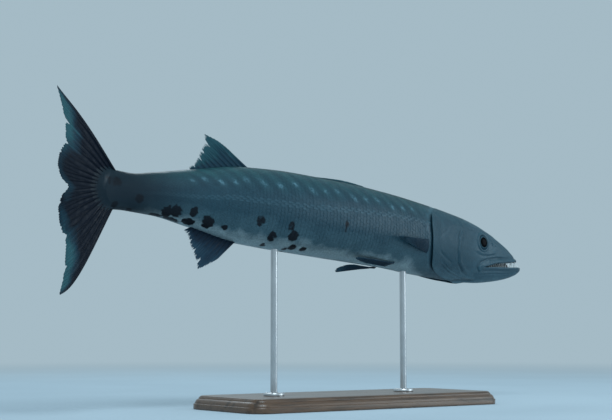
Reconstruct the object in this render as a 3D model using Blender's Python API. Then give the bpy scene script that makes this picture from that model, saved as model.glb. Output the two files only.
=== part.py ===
"""Great barracuda, life size, held by a flat base with two short rods.

The fish is modelled straight, snout at x = 0 and tail towards -x, and is then laid along one gently
bent centreline. Stations and profile heights are shares of the standard length, which runs from the
chin to the root of the tail fin.
"""

import math

import bmesh
import bpy
import numpy as np
from mathutils import Matrix, Vector

# Driving sizes, in metres and degrees.
STANDARD_LENGTH = 0.92
MID_HEIGHT = 0.302
NOSE_DOWN = 5.3
BEND_PLANE_BANK = 4.0
BODY_ROLL = 10.6
TAIL_ROLL = 8.2
GAP = 0.0003
MID_STATION = 0.5
ROLL_EASES_FROM = 0.7

# Turn of the centreline at each station, positive towards the fish's left.
BEND = ((0.0, 6.1), (0.30, 6.1), (0.50, 0.0), (0.75, -4.1), (0.90, -0.7), (1.0, 10.8), (1.14, 50.0))

# Profile of the body at each station.
BACK = (
    (0.0, -0.0124), (0.05, 0.0167), (0.10, 0.0368), (0.155, 0.0524), (0.22, 0.0625), (0.32, 0.0729),
    (0.42, 0.0794), (0.52, 0.0829), (0.62, 0.0829), (0.73, 0.0769), (0.83, 0.0563), (0.90, 0.0400),
    (0.95, 0.0310), (1.0, 0.0330),
)
BELLY = (
    (0.0, -0.0292), (0.05, -0.0470), (0.10, -0.0583), (0.155, -0.0665), (0.22, -0.0698),
    (0.32, -0.0682), (0.42, -0.0642), (0.52, -0.0639), (0.62, -0.0634), (0.73, -0.0609),
    (0.83, -0.0447), (0.90, -0.0355), (0.95, -0.0350), (1.0, -0.0390),
)
HALF_WIDTH = (
    (0.0, 0.0075), (0.05, 0.0165), (0.10, 0.0225), (0.155, 0.0280), (0.22, 0.0390), (0.32, 0.0500),
    (0.42, 0.0555), (0.52, 0.0575), (0.62, 0.0560), (0.73, 0.0490), (0.83, 0.0350), (0.90, 0.0250),
    (0.95, 0.0185), (1.0, 0.0090),
)
WIDEST_SHARE = ((0.0, 0.55), (0.10, 0.60), (0.155, 0.60), (0.30, 0.52), (0.50, 0.50), (1.0, 0.50))
UPPER_SQUARENESS = ((0.0, 2.2), (0.10, 2.7), (0.155, 3.0), (0.24, 2.5), (0.34, 2.15), (1.0, 2.0))
LOWER_SQUARENESS = ((0.0, 2.0), (0.10, 1.75), (0.18, 1.75), (0.30, 2.0), (0.60, 2.1), (1.0, 2.0))

# Head: the tips of the two jaws, the lip lines and the thin cut behind the lower jaw.
UPPER_TIP = (0.012, -0.0072)
LOWER_TIP = (0.0, -0.0225)
NOSE_ROUNDING = 0.022
UPPER_LIP = ((-0.03, -0.0050), (0.02, -0.0086), (0.045, -0.0138), (0.094, -0.0222), (0.143, -0.0350))
LOWER_LIP = ((-0.03, -0.0150), (0.02, -0.0205), (0.06, -0.0256), (0.094, -0.0290), (0.143, -0.0356))
JAW_HINGE_FOOT = (0.188, -0.085)
JAW_CUT = 0.0005
MOUTH_FRONT = 0.018
MOUTH_BACK = 0.126
GILL_EDGE = (
    (-90.0, 0.208), (-80.0, 0.227), (-70.0, 0.266), (-57.0, 0.298), (-45.0, 0.311), (-15.0, 0.3215),
    (10.0, 0.3235), (28.0, 0.318), (55.0, 0.297), (75.0, 0.274), (90.0, 0.264),
)
GILL_LIFT = 0.0028
GILL_LIFT_LENGTH = 0.034
NAPE_STATION = 0.268
NECK_CUT = 0.0008

EYE_STATION = 0.146
EYE_HEIGHT = 0.0135
EYE_RADIUS = 0.0176
EYE_DEPTH = 0.0062
EYE_INSET = 0.0028
NOSTRILS = ((0.104, 0.0205, 0.0024), (0.113, 0.0225, 0.0018))

# Lips: first and last station, and the (station, height, radius) of the upper jaw bone's flat end.
LIP_SPAN = (0.018, 0.139)
JAW_BONE_END = ((0.146, -0.0365, 0.0042), (0.151, -0.0410, 0.0042), (0.1535, -0.0455, 0.0026))

# Rows of teeth: first and last station, count, length and radius in metres, share of the lip's width.
UPPER_TEETH = ((0.024, 0.033, 2, 0.0100, 0.0015, 0.60), (0.050, 0.108, 6, 0.0052, 0.0012, 0.62))
LOWER_TEETH = ((0.012, 0.012, 1, 0.0060, 0.0013, 0.50), (0.044, 0.116, 9, 0.0046, 0.0011, 0.84))

# Trunk and tail stalk.
STALK_STATION = 0.845
STALK_CUT = 0.0004
STALK_END = 0.999
STALK_END_HOLLOW = 0.024

# Fins in the middle plane: first and last station of each root, and (share, station, height) of each edge.
SECOND_DORSAL_ROOT = (0.7150, 0.8280)
SECOND_DORSAL_EDGE = (
    (0.0, 0.7600, 0.1095), (0.10, 0.7820, 0.1200), (0.20, 0.8055, 0.1262), (0.32, 0.8030, 0.1120),
    (0.48, 0.8085, 0.0980), (0.68, 0.8140, 0.0840), (0.86, 0.8210, 0.0690), (1.0, 0.8330, 0.0590),
)
ANAL_ROOT = (0.7370, 0.8250)
ANAL_EDGE = (
    (0.0, 0.7700, -0.0955), (0.12, 0.7900, -0.1085), (0.22, 0.8075, -0.1175), (0.34, 0.8100, -0.1060),
    (0.50, 0.8160, -0.0920), (0.70, 0.8240, -0.0750), (0.86, 0.8290, -0.0610), (1.0, 0.8370, -0.0520),
)
FIRST_DORSAL_ROOT = (0.4450, 0.5500)
FIRST_DORSAL_TIPS = (0.4560, 0.5680)
FIRST_DORSAL_RISE = 0.0050
TAIL_ROOT_SHARE = 0.97
TAIL_EDGE = (
    (0.0, 1.1230, 0.1450), (0.06, 1.1060, 0.1200), (0.14, 1.0930, 0.0880), (0.22, 1.0920, 0.0650),
    (0.31, 1.1140, 0.0360), (0.38, 1.1210, 0.0180), (0.45, 1.1080, 0.0000), (0.50, 1.0830, -0.0140),
    (0.55, 1.1050, -0.0310), (0.62, 1.1200, -0.0540), (0.70, 1.1140, -0.0760), (0.79, 1.0900, -0.1080),
    (0.87, 1.0920, -0.1340), (0.94, 1.1010, -0.1650), (1.0, 1.1180, -0.1890),
)
# How far the outermost rays of the upper and the lower lobe bow outwards.
TAIL_BOW = (0.0190, 0.0400)

# Paired fins: length of the fin at each share of its root.
PECTORAL_LENGTHS = ((0.0, 0.088), (0.2, 0.097), (0.5, 0.094), (0.8, 0.076), (1.0, 0.050))
PELVIC_LENGTHS = ((0.0, 0.093), (0.15, 0.095), (0.6, 0.075), (1.0, 0.047))
PELVIC_ROOT_STATIONS = (0.4045, 0.4165)
PELVIC_ROOT_LATERALS = (0.0265, 0.0140)

# Stand.
BASE_SIZE = (0.52, 0.20, 0.022)
BASE_CORNER = 0.030
BASE_BEVEL = 0.003
BASE_SHIFT = (0.010, 0.0)
ROD_RADIUS = 0.0055
ROD_STATIONS = (0.355, 0.655)
ROD_DEPTH = 0.014
ROD_SIDES = 20
FLANGE_RADIUS = 0.017
FLANGE_HEIGHT = 0.005
EDGE_BREAK = 0.001

SEGMENTS = 36


def curve_through(points):
    """A smooth curve through (position, value) pairs that never overshoots them."""
    xs, ys = np.array(points, float).T
    spans = np.diff(xs)
    slopes = np.diff(ys) / spans
    tangents = np.zeros_like(ys)
    product = slopes[:-1] * slopes[1:]
    total = slopes[:-1] + slopes[1:]
    same_way = product > 0
    tangents[1:-1][same_way] = 2 * product[same_way] / total[same_way]
    tangents[0], tangents[-1] = slopes[0], slopes[-1]

    def value(x):
        x = np.clip(np.asarray(x, float), xs[0], xs[-1])
        k = np.clip(np.searchsorted(xs, x) - 1, 0, len(spans) - 1)
        t = (x - xs[k]) / spans[k]
        rise = ys[k] + (ys[k + 1] - ys[k]) * t * t * (3 - 2 * t)
        lean = tangents[k] * t * (1 - t) ** 2 - tangents[k + 1] * t * t * (1 - t)
        return rise + spans[k] * lean

    return value


back = curve_through(BACK)
belly = curve_through(BELLY)
half_width = curve_through(HALF_WIDTH)
widest_share = curve_through(WIDEST_SHARE)
upper_squareness = curve_through(UPPER_SQUARENESS)
lower_squareness = curve_through(LOWER_SQUARENESS)
upper_lip = curve_through(UPPER_LIP)
lower_lip = curve_through(LOWER_LIP)
gill_edge = curve_through(GILL_EDGE)
bend = curve_through(BEND)


def smooth_step(x):
    x = np.clip(x, 0.0, 1.0)
    return x * x * (3 - 2 * x)


def section(station, angle, top, bottom, width):
    """Lateral and vertical place on one cross-section, angle 0 at the left side and 90 at the back."""
    middle = bottom + (top - bottom) * widest_share(station)
    across, up = np.cos(angle), np.sin(angle)
    power = 2 / np.where(up > 0, upper_squareness(station), lower_squareness(station))
    height = np.where(up > 0, top - middle, middle - bottom)
    y = width * np.sign(across) * np.abs(across) ** power
    z = middle + height * np.sign(up) * np.abs(up) ** power
    return y, z


def skin(station, angle):
    """Point of the body's skin, in shares of the standard length."""
    return section(station, angle, back(station), belly(station), half_width(station))


def side_at(station, height):
    """Half-width of the body at a height, in shares of the standard length."""
    top, bottom = back(station), belly(station)
    middle = bottom + (top - bottom) * widest_share(station)
    above = height > middle
    reach = np.where(above, top - middle, middle - bottom)
    power = np.where(above, upper_squareness(station), lower_squareness(station))
    share = np.clip(np.abs(height - middle) / reach, 0.0, 1.0)
    return half_width(station) * (1 - share**power) ** (1 / power)


def straight(station, y, z):
    """Straight-frame metres of a point given in shares of the standard length."""
    shape = np.broadcast_shapes(np.shape(station), np.shape(y), np.shape(z))
    parts = [np.broadcast_to(part, shape) for part in (-np.asarray(station, float), y, z)]
    return np.stack(parts, -1) * STANDARD_LENGTH


class Pose:
    """The bent centreline, and the turn from the straight fish to the displayed one."""

    STEP = 0.004
    LAST = 1.16
    FIRST = -0.04

    def __init__(self):
        self.stations = np.arange(self.FIRST, self.LAST + self.STEP, self.STEP)
        turn = np.radians(bend(self.stations))
        pitch = Matrix.Rotation(math.radians(NOSE_DOWN), 3, "Y")
        bank = Matrix.Rotation(math.radians(BEND_PLANE_BANK), 3, "X")
        plane = np.array(pitch @ bank)
        ahead = np.stack([np.cos(turn), np.sin(turn), np.zeros_like(turn)], -1) @ plane.T
        left = np.stack([-np.sin(turn), np.cos(turn), np.zeros_like(turn)], -1) @ plane.T
        up = np.cross(ahead, left)
        ease = smooth_step((self.stations - ROLL_EASES_FROM) / (1 - ROLL_EASES_FROM))
        roll = np.radians(BODY_ROLL + (TAIL_ROLL - BODY_ROLL) * ease)[:, None]
        self.up = up * np.cos(roll) + left * np.sin(roll)
        self.left = left * np.cos(roll) - up * np.sin(roll)
        steps = (ahead[1:] + ahead[:-1]) / 2 * self.STEP * STANDARD_LENGTH
        line = np.concatenate([np.zeros((1, 3)), -np.cumsum(steps, 0)])
        middle = [np.interp(MID_STATION, self.stations, line[:, k]) for k in range(3)]
        self.line = line - middle + np.array([0.0, 0.0, MID_HEIGHT])

    def read(self, table, stations):
        return np.stack([np.interp(stations, self.stations, table[:, k]) for k in range(3)], -1)

    def place(self, points):
        """Displayed place of straight-frame points."""
        points = np.asarray(points, float)
        stations = -points[..., 0] / STANDARD_LENGTH
        line = self.read(self.line, stations)
        left = self.read(self.left, stations)
        up = self.read(self.up, stations)
        return line + points[..., 1:2] * left + points[..., 2:3] * up


pose = Pose()


def clear_scene():
    for obj in list(bpy.data.objects):
        bpy.data.objects.remove(obj)


def material(name, colour, roughness, metallic=0.0):
    made = bpy.data.materials.new(name)
    made.use_nodes = True
    shader = made.node_tree.nodes["Principled BSDF"]
    shader.inputs["Base Color"].default_value = (*colour, 1.0)
    shader.inputs["Roughness"].default_value = roughness
    shader.inputs["Metallic"].default_value = metallic
    return made


def make_materials():
    return {
        "skin": material("skin", (0.20, 0.27, 0.28), 0.42),
        "fin": material("fin", (0.10, 0.14, 0.15), 0.5),
        "eye": material("eye", (0.03, 0.03, 0.035), 0.08),
        "base": material("base", (0.10, 0.07, 0.05), 0.45),
        "rod": material("rod", (0.62, 0.63, 0.64), 0.28, 1.0),
    }


def add_mesh(name, points, faces):
    mesh = bpy.data.meshes.new(name)
    mesh.from_pydata([tuple(point) for point in points], [], faces)
    mesh.validate()
    obj = bpy.data.objects.new(name, mesh)
    bpy.context.scene.collection.objects.link(obj)
    return obj


def face_outwards(obj):
    shape = bmesh.new()
    shape.from_mesh(obj.data)
    bmesh.ops.remove_doubles(shape, verts=shape.verts, dist=1e-6)
    bmesh.ops.recalc_face_normals(shape, faces=shape.faces)
    shape.to_mesh(obj.data)
    shape.free()


def loft(name, rings, first_pole, last_pole, lean=1):
    """A closed solid through rings of points, closed by a pole at each end.

    Lean, 1 or -1, says which way the quads are split, so that two facing surfaces can be alike.
    """
    count = len(rings[0])
    points = [first_pole, *np.concatenate(rings), last_pole]
    last = len(points) - 1
    faces = []
    for k in range(count):
        after = (k + 1) % count
        faces.append((0, 1 + after, 1 + k))
        faces.append((last, last - count + k, last - count + after))
        for ring in range(len(rings) - 1):
            low, high = 1 + ring * count, 1 + (ring + 1) * count
            if lean > 0:
                faces += [(low + k, low + after, high + after), (low + k, high + after, high + k)]
            else:
                faces += [(low + k, low + after, high + k), (low + after, high + after, high + k)]
    obj = add_mesh(name, points, faces)
    face_outwards(obj)
    return obj


def solid_sheet(name, middle, normal, half_thickness):
    """A closed thin solid on both sides of a grid of points, its two faces split alike."""
    rows, columns = middle.shape[:2]
    offset = normal * half_thickness[..., None]
    points = np.concatenate([(middle + offset).reshape(-1, 3), (middle - offset).reshape(-1, 3)])
    other = rows * columns
    faces = []
    for r in range(rows - 1):
        for c in range(columns - 1):
            a, b = r * columns + c, r * columns + c + 1
            d, e = a + columns, b + columns
            faces += [(a, d, b), (b, d, e)]
            faces += [(other + a, other + b, other + d), (other + b, other + e, other + d)]
    rim = [(r, 0) for r in range(rows)] + [(rows - 1, c) for c in range(1, columns)]
    rim += [(r, columns - 1) for r in range(rows - 2, -1, -1)] + [(0, c) for c in range(columns - 2, 0, -1)]
    for k, (r, c) in enumerate(rim):
        r_after, c_after = rim[(k + 1) % len(rim)]
        a, b = r * columns + c, r_after * columns + c_after
        faces.append((a, b, other + b, other + a))
    obj = add_mesh(name, points, faces)
    face_outwards(obj)
    return obj


def prism(name, outline, reach):
    """A straight-frame slab whose side outline is a list of (station, height) points."""
    count = len(outline)
    points = []
    for side in (-reach, reach):
        points += [straight(station, side, height) for station, height in outline]
    faces = [tuple(range(count)), tuple(range(2 * count - 1, count - 1, -1))]
    for k in range(count):
        after = (k + 1) % count
        faces.append((k, count + k, count + after, after))
    obj = add_mesh(name, points, faces)
    face_outwards(obj)
    return obj


def keep_largest(obj):
    """Removes every loose scrap, so that the node is one closed surface."""
    shape = bmesh.new()
    shape.from_mesh(obj.data)
    left = set(shape.verts)
    shells = []
    while left:
        shell, front = set(), [left.pop()]
        while front:
            vert = front.pop()
            shell.add(vert)
            for edge in vert.link_edges:
                other = edge.other_vert(vert)
                if other in left:
                    left.remove(other)
                    front.append(other)
        shells.append(shell)
    largest = max(shells, key=len)
    scraps = [vert for vert in shape.verts if vert not in largest]
    bmesh.ops.delete(shape, geom=scraps, context="VERTS")
    shape.to_mesh(obj.data)
    shape.free()


def apply_boolean(obj, others, operation, solver="EXACT"):
    """Joins others to obj, or cuts them from it, and removes them."""
    group = bpy.data.collections.new(obj.name + "_pieces")
    bpy.context.scene.collection.children.link(group)
    for other in others:
        bpy.context.scene.collection.objects.unlink(other)
        group.objects.link(other)
    change = obj.modifiers.new("change", "BOOLEAN")
    change.operation = operation
    change.operand_type = "COLLECTION"
    change.collection = group
    change.solver = solver
    bpy.context.view_layer.update()
    graph = bpy.context.evaluated_depsgraph_get()
    made = bpy.data.meshes.new_from_object(obj.evaluated_get(graph))
    obj.modifiers.clear()
    obj.data = made
    for other in others:
        bpy.data.objects.remove(other)
    bpy.data.collections.remove(group)
    keep_largest(obj)


def ellipsoid(name, centre, radii, rings, segments):
    """A closed ellipsoid with its poles on the lateral axis."""
    shape = bmesh.new()
    bmesh.ops.create_uvsphere(shape, u_segments=segments, v_segments=rings, radius=1.0)
    bmesh.ops.rotate(shape, verts=shape.verts, matrix=Matrix.Rotation(math.pi / 2, 3, "X"))
    bmesh.ops.scale(shape, verts=shape.verts, vec=radii)
    bmesh.ops.translate(shape, verts=shape.verts, vec=Vector(centre))
    mesh = bpy.data.meshes.new(name)
    shape.to_mesh(mesh)
    shape.free()
    obj = bpy.data.objects.new(name, mesh)
    bpy.context.scene.collection.objects.link(obj)
    face_outwards(obj)
    return obj


def spike(name, foot, tip, radius, sides=6):
    """A tooth: a cone from foot to tip, in straight-frame metres."""
    foot, tip = Vector(foot), Vector(tip)
    shape = bmesh.new()
    bmesh.ops.create_cone(
        shape, cap_ends=True, segments=sides, radius1=radius, radius2=radius * 0.16,
        depth=(tip - foot).length,
    )
    turn = (tip - foot).to_track_quat("Z", "Y").to_matrix().to_4x4()
    bmesh.ops.transform(shape, verts=shape.verts, matrix=Matrix.Translation((foot + tip) / 2) @ turn)
    mesh = bpy.data.meshes.new(name)
    shape.to_mesh(mesh)
    shape.free()
    obj = bpy.data.objects.new(name, mesh)
    bpy.context.scene.collection.objects.link(obj)
    return obj


def tube(name, path, radii, sides=8):
    """A closed tube along straight-frame points, with a radius at each."""
    path = [Vector(point) for point in path]
    rings = []
    for k, point in enumerate(path):
        along = (path[min(k + 1, len(path) - 1)] - path[max(k - 1, 0)]).normalized()
        side = along.cross(Vector((0, 0, 1))).normalized()
        up = side.cross(along)
        angles = [2 * math.pi * step / sides for step in range(sides)]
        rings.append([point + (side * math.cos(a) + up * math.sin(a)) * radii[k] for a in angles])
    return loft(name, rings, path[0], path[-1])


def finish_node(obj, name, look, bent=True, sharp=40):
    """Lays a straight-frame solid along the pose, names it and gives it its material."""
    if bent:
        count = len(obj.data.vertices)
        points = np.empty(count * 3, np.float32)
        obj.data.vertices.foreach_get("co", points)
        placed = pose.place(points.reshape(-1, 3).astype(float))
        obj.data.vertices.foreach_set("co", placed.astype(np.float32).ravel())
        obj.data.update()
    obj.name = name
    obj.data.name = name
    obj.data.materials.clear()
    obj.data.materials.append(look)
    obj.data.shade_smooth()
    obj.data.set_sharp_from_angle(angle=math.radians(sharp))
    return obj


def snout_ring(station, tip, angles):
    """One ring of a jaw or of the head, rounded in towards the jaw's own tip."""
    along = np.clip((station - tip[0]) / NOSE_ROUNDING, 0.0, 1.0)
    swell = np.sqrt(1 - (1 - along) ** 2)
    top = tip[1] + (back(station) - tip[1]) * swell
    bottom = tip[1] + (belly(station) - tip[1]) * swell
    return section(station, angles, top, bottom, half_width(station) * swell)


def ring_angles():
    return np.linspace(0, 2 * math.pi, SEGMENTS, endpoint=False)


def gill_stations(angles):
    """Station of the gill cover's edge at each angle, the same on both sides."""
    return gill_edge(np.degrees(np.arcsin(np.sin(angles))))


def gill_lift(station, angles):
    """How much the gill cover swells a ring of the head, most at its edge and not at all at the nape."""
    rim = gill_stations(angles)
    near = smooth_step(1 - (rim - station) / GILL_LIFT_LENGTH)
    free = 1 - smooth_step((np.degrees(np.arcsin(np.sin(angles))) - 50) / 30)
    return 1 + GILL_LIFT / np.hypot(half_width(rim), 0.03 * np.sin(angles)) * near * (0.15 + 0.85 * free)


def neck_rings(angles, shift, shares):
    """Rings of the face where head and trunk meet, from its rim to near its middle."""
    rim = gill_stations(angles)
    rings = []
    for share in shares:
        station = NAPE_STATION + (rim - NAPE_STATION) * share**2
        y, z = skin(rim, angles)
        middle = (back(NAPE_STATION) + belly(NAPE_STATION)) / 2
        rings.append(straight(station + shift, y * share, middle + (z - middle) * share))
    pole = straight(NAPE_STATION + shift, 0.0, (back(NAPE_STATION) + belly(NAPE_STATION)) / 2)
    return rings, pole


def head_blank(name, tip, steps=26):
    """The whole head from one jaw's tip to the gill covers, before the mouth is cut."""
    angles = ring_angles()
    rim = gill_stations(angles)
    rings = []
    for step in range(1, steps + 1):
        share = (step / steps) ** 1.35
        station = tip[0] + (rim - tip[0]) * share
        y, z = snout_ring(station, tip, angles)
        lift = gill_lift(station, angles)
        middle = (back(station) + belly(station)) / 2
        rings.append(straight(station, y * lift, middle + (z - middle) * lift))
    inner, pole = neck_rings(angles, 0.0, (1.0, 0.62, 0.28))
    return loft(name, rings + inner, straight(tip[0], 0.0, tip[1]), pole)


def mouth_hollow(name):
    """The inside of the mouth, which both jaws are hollowed by."""
    angles = np.linspace(0, 2 * math.pi, 16, endpoint=False)
    rings = []
    stations = np.linspace(MOUTH_FRONT, MOUTH_BACK, 9)
    for k, station in enumerate(stations):
        ends = math.sin(math.pi * (k + 0.6) / (len(stations) + 0.2)) ** 0.5
        high, low = upper_lip(station), lower_lip(station)
        middle = (high + low) / 2
        width = side_at(station, middle) * 0.56 * ends
        height = ((high - low) / 2 + 0.0075) * ends
        rings.append(straight(station, width * np.cos(angles), middle + height * np.sin(angles)))
    first = straight(MOUTH_FRONT - 0.002, 0.0, (upper_lip(MOUTH_FRONT) + lower_lip(MOUTH_FRONT)) / 2)
    last = straight(MOUTH_BACK + 0.003, 0.0, (upper_lip(MOUTH_BACK) + lower_lip(MOUTH_BACK)) / 2)
    return loft(name, rings, first, last)


def jaw_outline(lip, corner_shift, tip_station):
    """Side outline of what lies below a lip line and ahead of the jaw's hinge cut."""
    stations = np.linspace(-0.03, 0.143 - corner_shift, 16)
    outline = [(station, float(lip(station))) for station in stations]
    outline.append((JAW_HINGE_FOOT[0] - corner_shift, JAW_HINGE_FOOT[1]))
    outline.append((tip_station, JAW_HINGE_FOOT[1] - 0.05))
    return outline


def teeth(lip, rows, up):
    """Teeth of one jaw: each row gives first and last station, count, length and radius in metres."""
    made = []
    way = 1.0 if up else -1.0
    for first, last, count, length, radius, inwards in rows:
        for side in (-1, 1):
            for k in range(count):
                station = first + (last - first) * (k / max(count - 1, 1))
                height = float(lip(station))
                reach = float(side_at(station, height)) * inwards
                gape = (float(upper_lip(station)) - float(lower_lip(station))) * STANDARD_LENGTH
                size = min(length * (1 + 0.18 * math.sin(2.4 * k + 0.7 * side)), 0.8 * gape - 0.0004)
                foot = straight(station, side * reach, height) - np.array([0, 0, way * 0.003])
                tip = straight(station, side * reach * 0.97, height) + np.array([-0.0012, 0, way * size])
                made.append(spike("tooth", foot, tip, radius))
    return made


def lip_tubes(lip, drop, radii, tail=(), spare=0.0):
    """The rounded lip on both sides of one jaw, thicker and longer by spare metres."""
    made = []
    stations = LIP_SPAN[0] + (LIP_SPAN[1] - LIP_SPAN[0]) * np.linspace(0, 1, 11) ** 1.3
    heights = lip(stations) + drop
    snug = np.sqrt(1 - (1 - np.clip((stations - UPPER_TIP[0]) / NOSE_ROUNDING, 0, 1)) ** 2)
    sides = side_at(stations, heights) * snug - 0.0012
    for side in (-1, 1):
        path = [straight(s, side * y, z) for s, y, z in zip(stations, sides, heights)]
        widths = [radii[0] * 0.55, *np.linspace(radii[0], radii[1], len(path) - 1)]
        if not tail:
            widths[-1] *= 0.4
        for station, height, radius in tail:
            path.append(straight(station, side * (float(side_at(station, height)) - 0.0010), height))
            widths.append(radius)
        path[0] = path[0] + (path[0] - path[1]) / np.linalg.norm(path[0] - path[1]) * spare
        path[-1] = path[-1] + (path[-1] - path[-2]) / np.linalg.norm(path[-1] - path[-2]) * spare
        made.append(tube("lip", path, [width + spare for width in widths]))
    return made


def upper_lip_tubes(spare=0.0):
    """Both upper lips with the flat end of the jaw bone, thicker by spare metres."""
    return lip_tubes(upper_lip, 0.0030, (0.0018, 0.0034), JAW_BONE_END, spare)


def eye_centre(side):
    lateral = side_at(EYE_STATION, EYE_HEIGHT) - EYE_INSET
    return straight(EYE_STATION, side * lateral, EYE_HEIGHT)


def build_eyes(look):
    """Both eyes, as flat ellipsoids set in their sockets."""
    radii = np.array([EYE_RADIUS, EYE_DEPTH, EYE_RADIUS]) * STANDARD_LENGTH
    for side, name in ((1, "eye_left"), (-1, "eye_right")):
        finish_node(ellipsoid(name, eye_centre(side), radii, 10, 20), name, look)


def build_head(look):
    """Skull, cheeks and gill covers in one node, with the mouth, sockets and nostrils cut."""
    head = head_blank("head", UPPER_TIP)
    cutters = [prism("below_lip", jaw_outline(upper_lip, 0.0, -0.03), 0.2), mouth_hollow("mouth")]
    apply_boolean(head, cutters[:1], "DIFFERENCE")
    apply_boolean(head, cutters[1:], "DIFFERENCE")
    pieces = upper_lip_tubes()
    apply_boolean(head, pieces + teeth(upper_lip, UPPER_TEETH, False), "UNION")
    radii = np.array([EYE_RADIUS, EYE_DEPTH, EYE_RADIUS]) * STANDARD_LENGTH + GAP
    sockets = [ellipsoid("socket", eye_centre(side), radii, 10, 20) for side in (-1, 1)]
    for station, height, radius in NOSTRILS:
        for side in (-1, 1):
            centre = straight(station, side * float(side_at(station, height)), height)
            size = radius * STANDARD_LENGTH
            sockets.append(ellipsoid("nostril", centre, (size * 1.3, size, size), 6, 8))
    apply_boolean(head, sockets, "DIFFERENCE")
    finish_node(head, "head", look)


def build_lower_jaw(look):
    """The lower jaw, whose tip stands ahead of the upper one."""
    jaw = head_blank("lower_jaw", LOWER_TIP)
    apply_boolean(jaw, [prism("jaw_side", jaw_outline(lower_lip, JAW_CUT, -0.03), 0.2)], "INTERSECT")
    apply_boolean(jaw, [mouth_hollow("mouth")], "DIFFERENCE")
    pieces = lip_tubes(lower_lip, -0.0030, (0.0018, 0.0020))
    apply_boolean(jaw, pieces + teeth(lower_lip, LOWER_TEETH, True), "UNION")
    apply_boolean(jaw, upper_lip_tubes(2 * GAP), "DIFFERENCE")
    finish_node(jaw, "lower_jaw", look)


def build_trunk(look, sockets):
    """The trunk from the gill covers to the tail stalk."""
    angles = ring_angles()
    rim = gill_stations(angles) + NECK_CUT / STANDARD_LENGTH
    steps = 21
    inner, first_pole = neck_rings(angles, NECK_CUT / STANDARD_LENGTH, (0.62, 0.28))
    rings = inner[::-1]
    for step in range(steps + 1):
        station = rim + (STALK_STATION - rim) * step / steps
        rings.append(straight(station, *skin(station, angles)))
    end = (back(STALK_STATION) + belly(STALK_STATION)) / 2
    trunk = loft("trunk", rings, first_pole, straight(STALK_STATION, 0.0, end), -1)
    finish_node(trunk, "trunk", look)
    apply_boolean(trunk, sockets, "DIFFERENCE")


def stalk_station(height_share):
    """Station of the stalk's rear end at a share of its height, furthest back in the middle."""
    return STALK_END - STALK_END_HOLLOW * height_share**2


def build_tail_stalk(look):
    """The stalk behind the dorsal and anal fins, ending in a rounded root for the tail fin."""
    angles = ring_angles()
    front = STALK_STATION + STALK_CUT / STANDARD_LENGTH
    steps = 12
    rings = []
    last = stalk_station(np.sin(angles))
    for step in range(steps + 1):
        station = front + (last - front) * step / steps
        rings.append(straight(station, *skin(station, angles)))
    poles = [straight(s, 0.0, (back(s) + belly(s)) / 2) for s in (front, STALK_END)]
    finish_node(loft("tail_stalk", rings, *poles), "tail_stalk", look)


def ray_columns(rays, half=0.16):
    """Places across a fin, three at each ray, and the height of the ray's ridge at each."""
    columns, ridge, tips = [0.0], [0.0], [0.0]
    for ray in range(rays):
        middle = (ray + 0.5) / rays
        for offset, rise, reach in ((-half, 0.0, 0.4), (0.0, 1.0, 1.0), (half, 0.0, 0.4)):
            columns.append(middle + offset / rays)
            ridge.append(rise)
            tips.append(reach)
    columns.append(1.0)
    ridge.append(0.0)
    tips.append(0.0)
    return np.array(columns), np.array(ridge), np.array(tips)


def sheet_normals(middle):
    """Unit normals of a grid of points."""
    along_rows = np.gradient(middle, axis=0)
    along_columns = np.gradient(middle, axis=1)
    normals = np.cross(along_rows, along_columns)
    return normals / np.linalg.norm(normals, axis=-1, keepdims=True)


def fin_grid(columns, tips, root, edge, rows, fray):
    """Grid from a fin's root line to its outer edge, with the ray tips standing proud."""
    root_points, edge_points = root(columns), edge(columns)
    reach = edge_points - root_points
    length = np.linalg.norm(reach, axis=-1, keepdims=True)
    edge_points = edge_points + reach / length * (tips[:, None] - 1) * fray
    along = np.linspace(0, 1, rows)[:, None, None]
    grid = root_points + (edge_points - root_points) * along
    return grid, along[..., 0]


def median_fin(name, look, root, edge, rays, rows, thickness, fray):
    """A fin in the fish's middle plane. Thickness is its half, in metres, at the root and at the edge."""
    columns, ridge, tips = ray_columns(rays)
    grid, along = fin_grid(columns, tips, root, edge, rows, fray)
    lead = np.exp(-((columns / 0.05) ** 2)) * 0.5
    thin = thickness[0] + (thickness[1] - thickness[0]) * along**0.7
    half = thin * (0.72 + 0.45 * ridge + lead)
    normal = np.zeros_like(grid)
    normal[..., 1] = 1.0
    finish_node(solid_sheet(name, grid, normal, half), name, look, sharp=70)


def root_reader(ends, profile, lift):
    """Reads a fin's root line along a profile, lifted off it in metres, from share 0 to 1."""
    def root(share):
        station = ends[0] + (ends[1] - ends[0]) * share
        return straight(station, 0.0, profile(station)) + np.array([0, 0, lift])

    return root


def outline_reader(points):
    """Reads an outline of (share, station, height) points as a curve from share 0 to 1."""
    stations = curve_through([(share, station) for share, station, _ in points])
    heights = curve_through([(share, height) for share, _, height in points])
    return lambda share: straight(stations(share), 0.0, heights(share))


def build_second_dorsal(look):
    """The soft dorsal fin, erect, with its frayed rear edge."""
    root = root_reader(SECOND_DORSAL_ROOT, back, GAP)
    edge = outline_reader(SECOND_DORSAL_EDGE)
    median_fin("dorsal_fin_second", look, root, edge, 10, 8, (0.0026, 0.0004), 0.0035)


def build_anal_fin(look):
    """The anal fin, set below the soft dorsal fin."""
    root = root_reader(ANAL_ROOT, belly, -GAP)
    median_fin("anal_fin", look, root, outline_reader(ANAL_EDGE), 10, 8, (0.0026, 0.0004), 0.0035)


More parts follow.
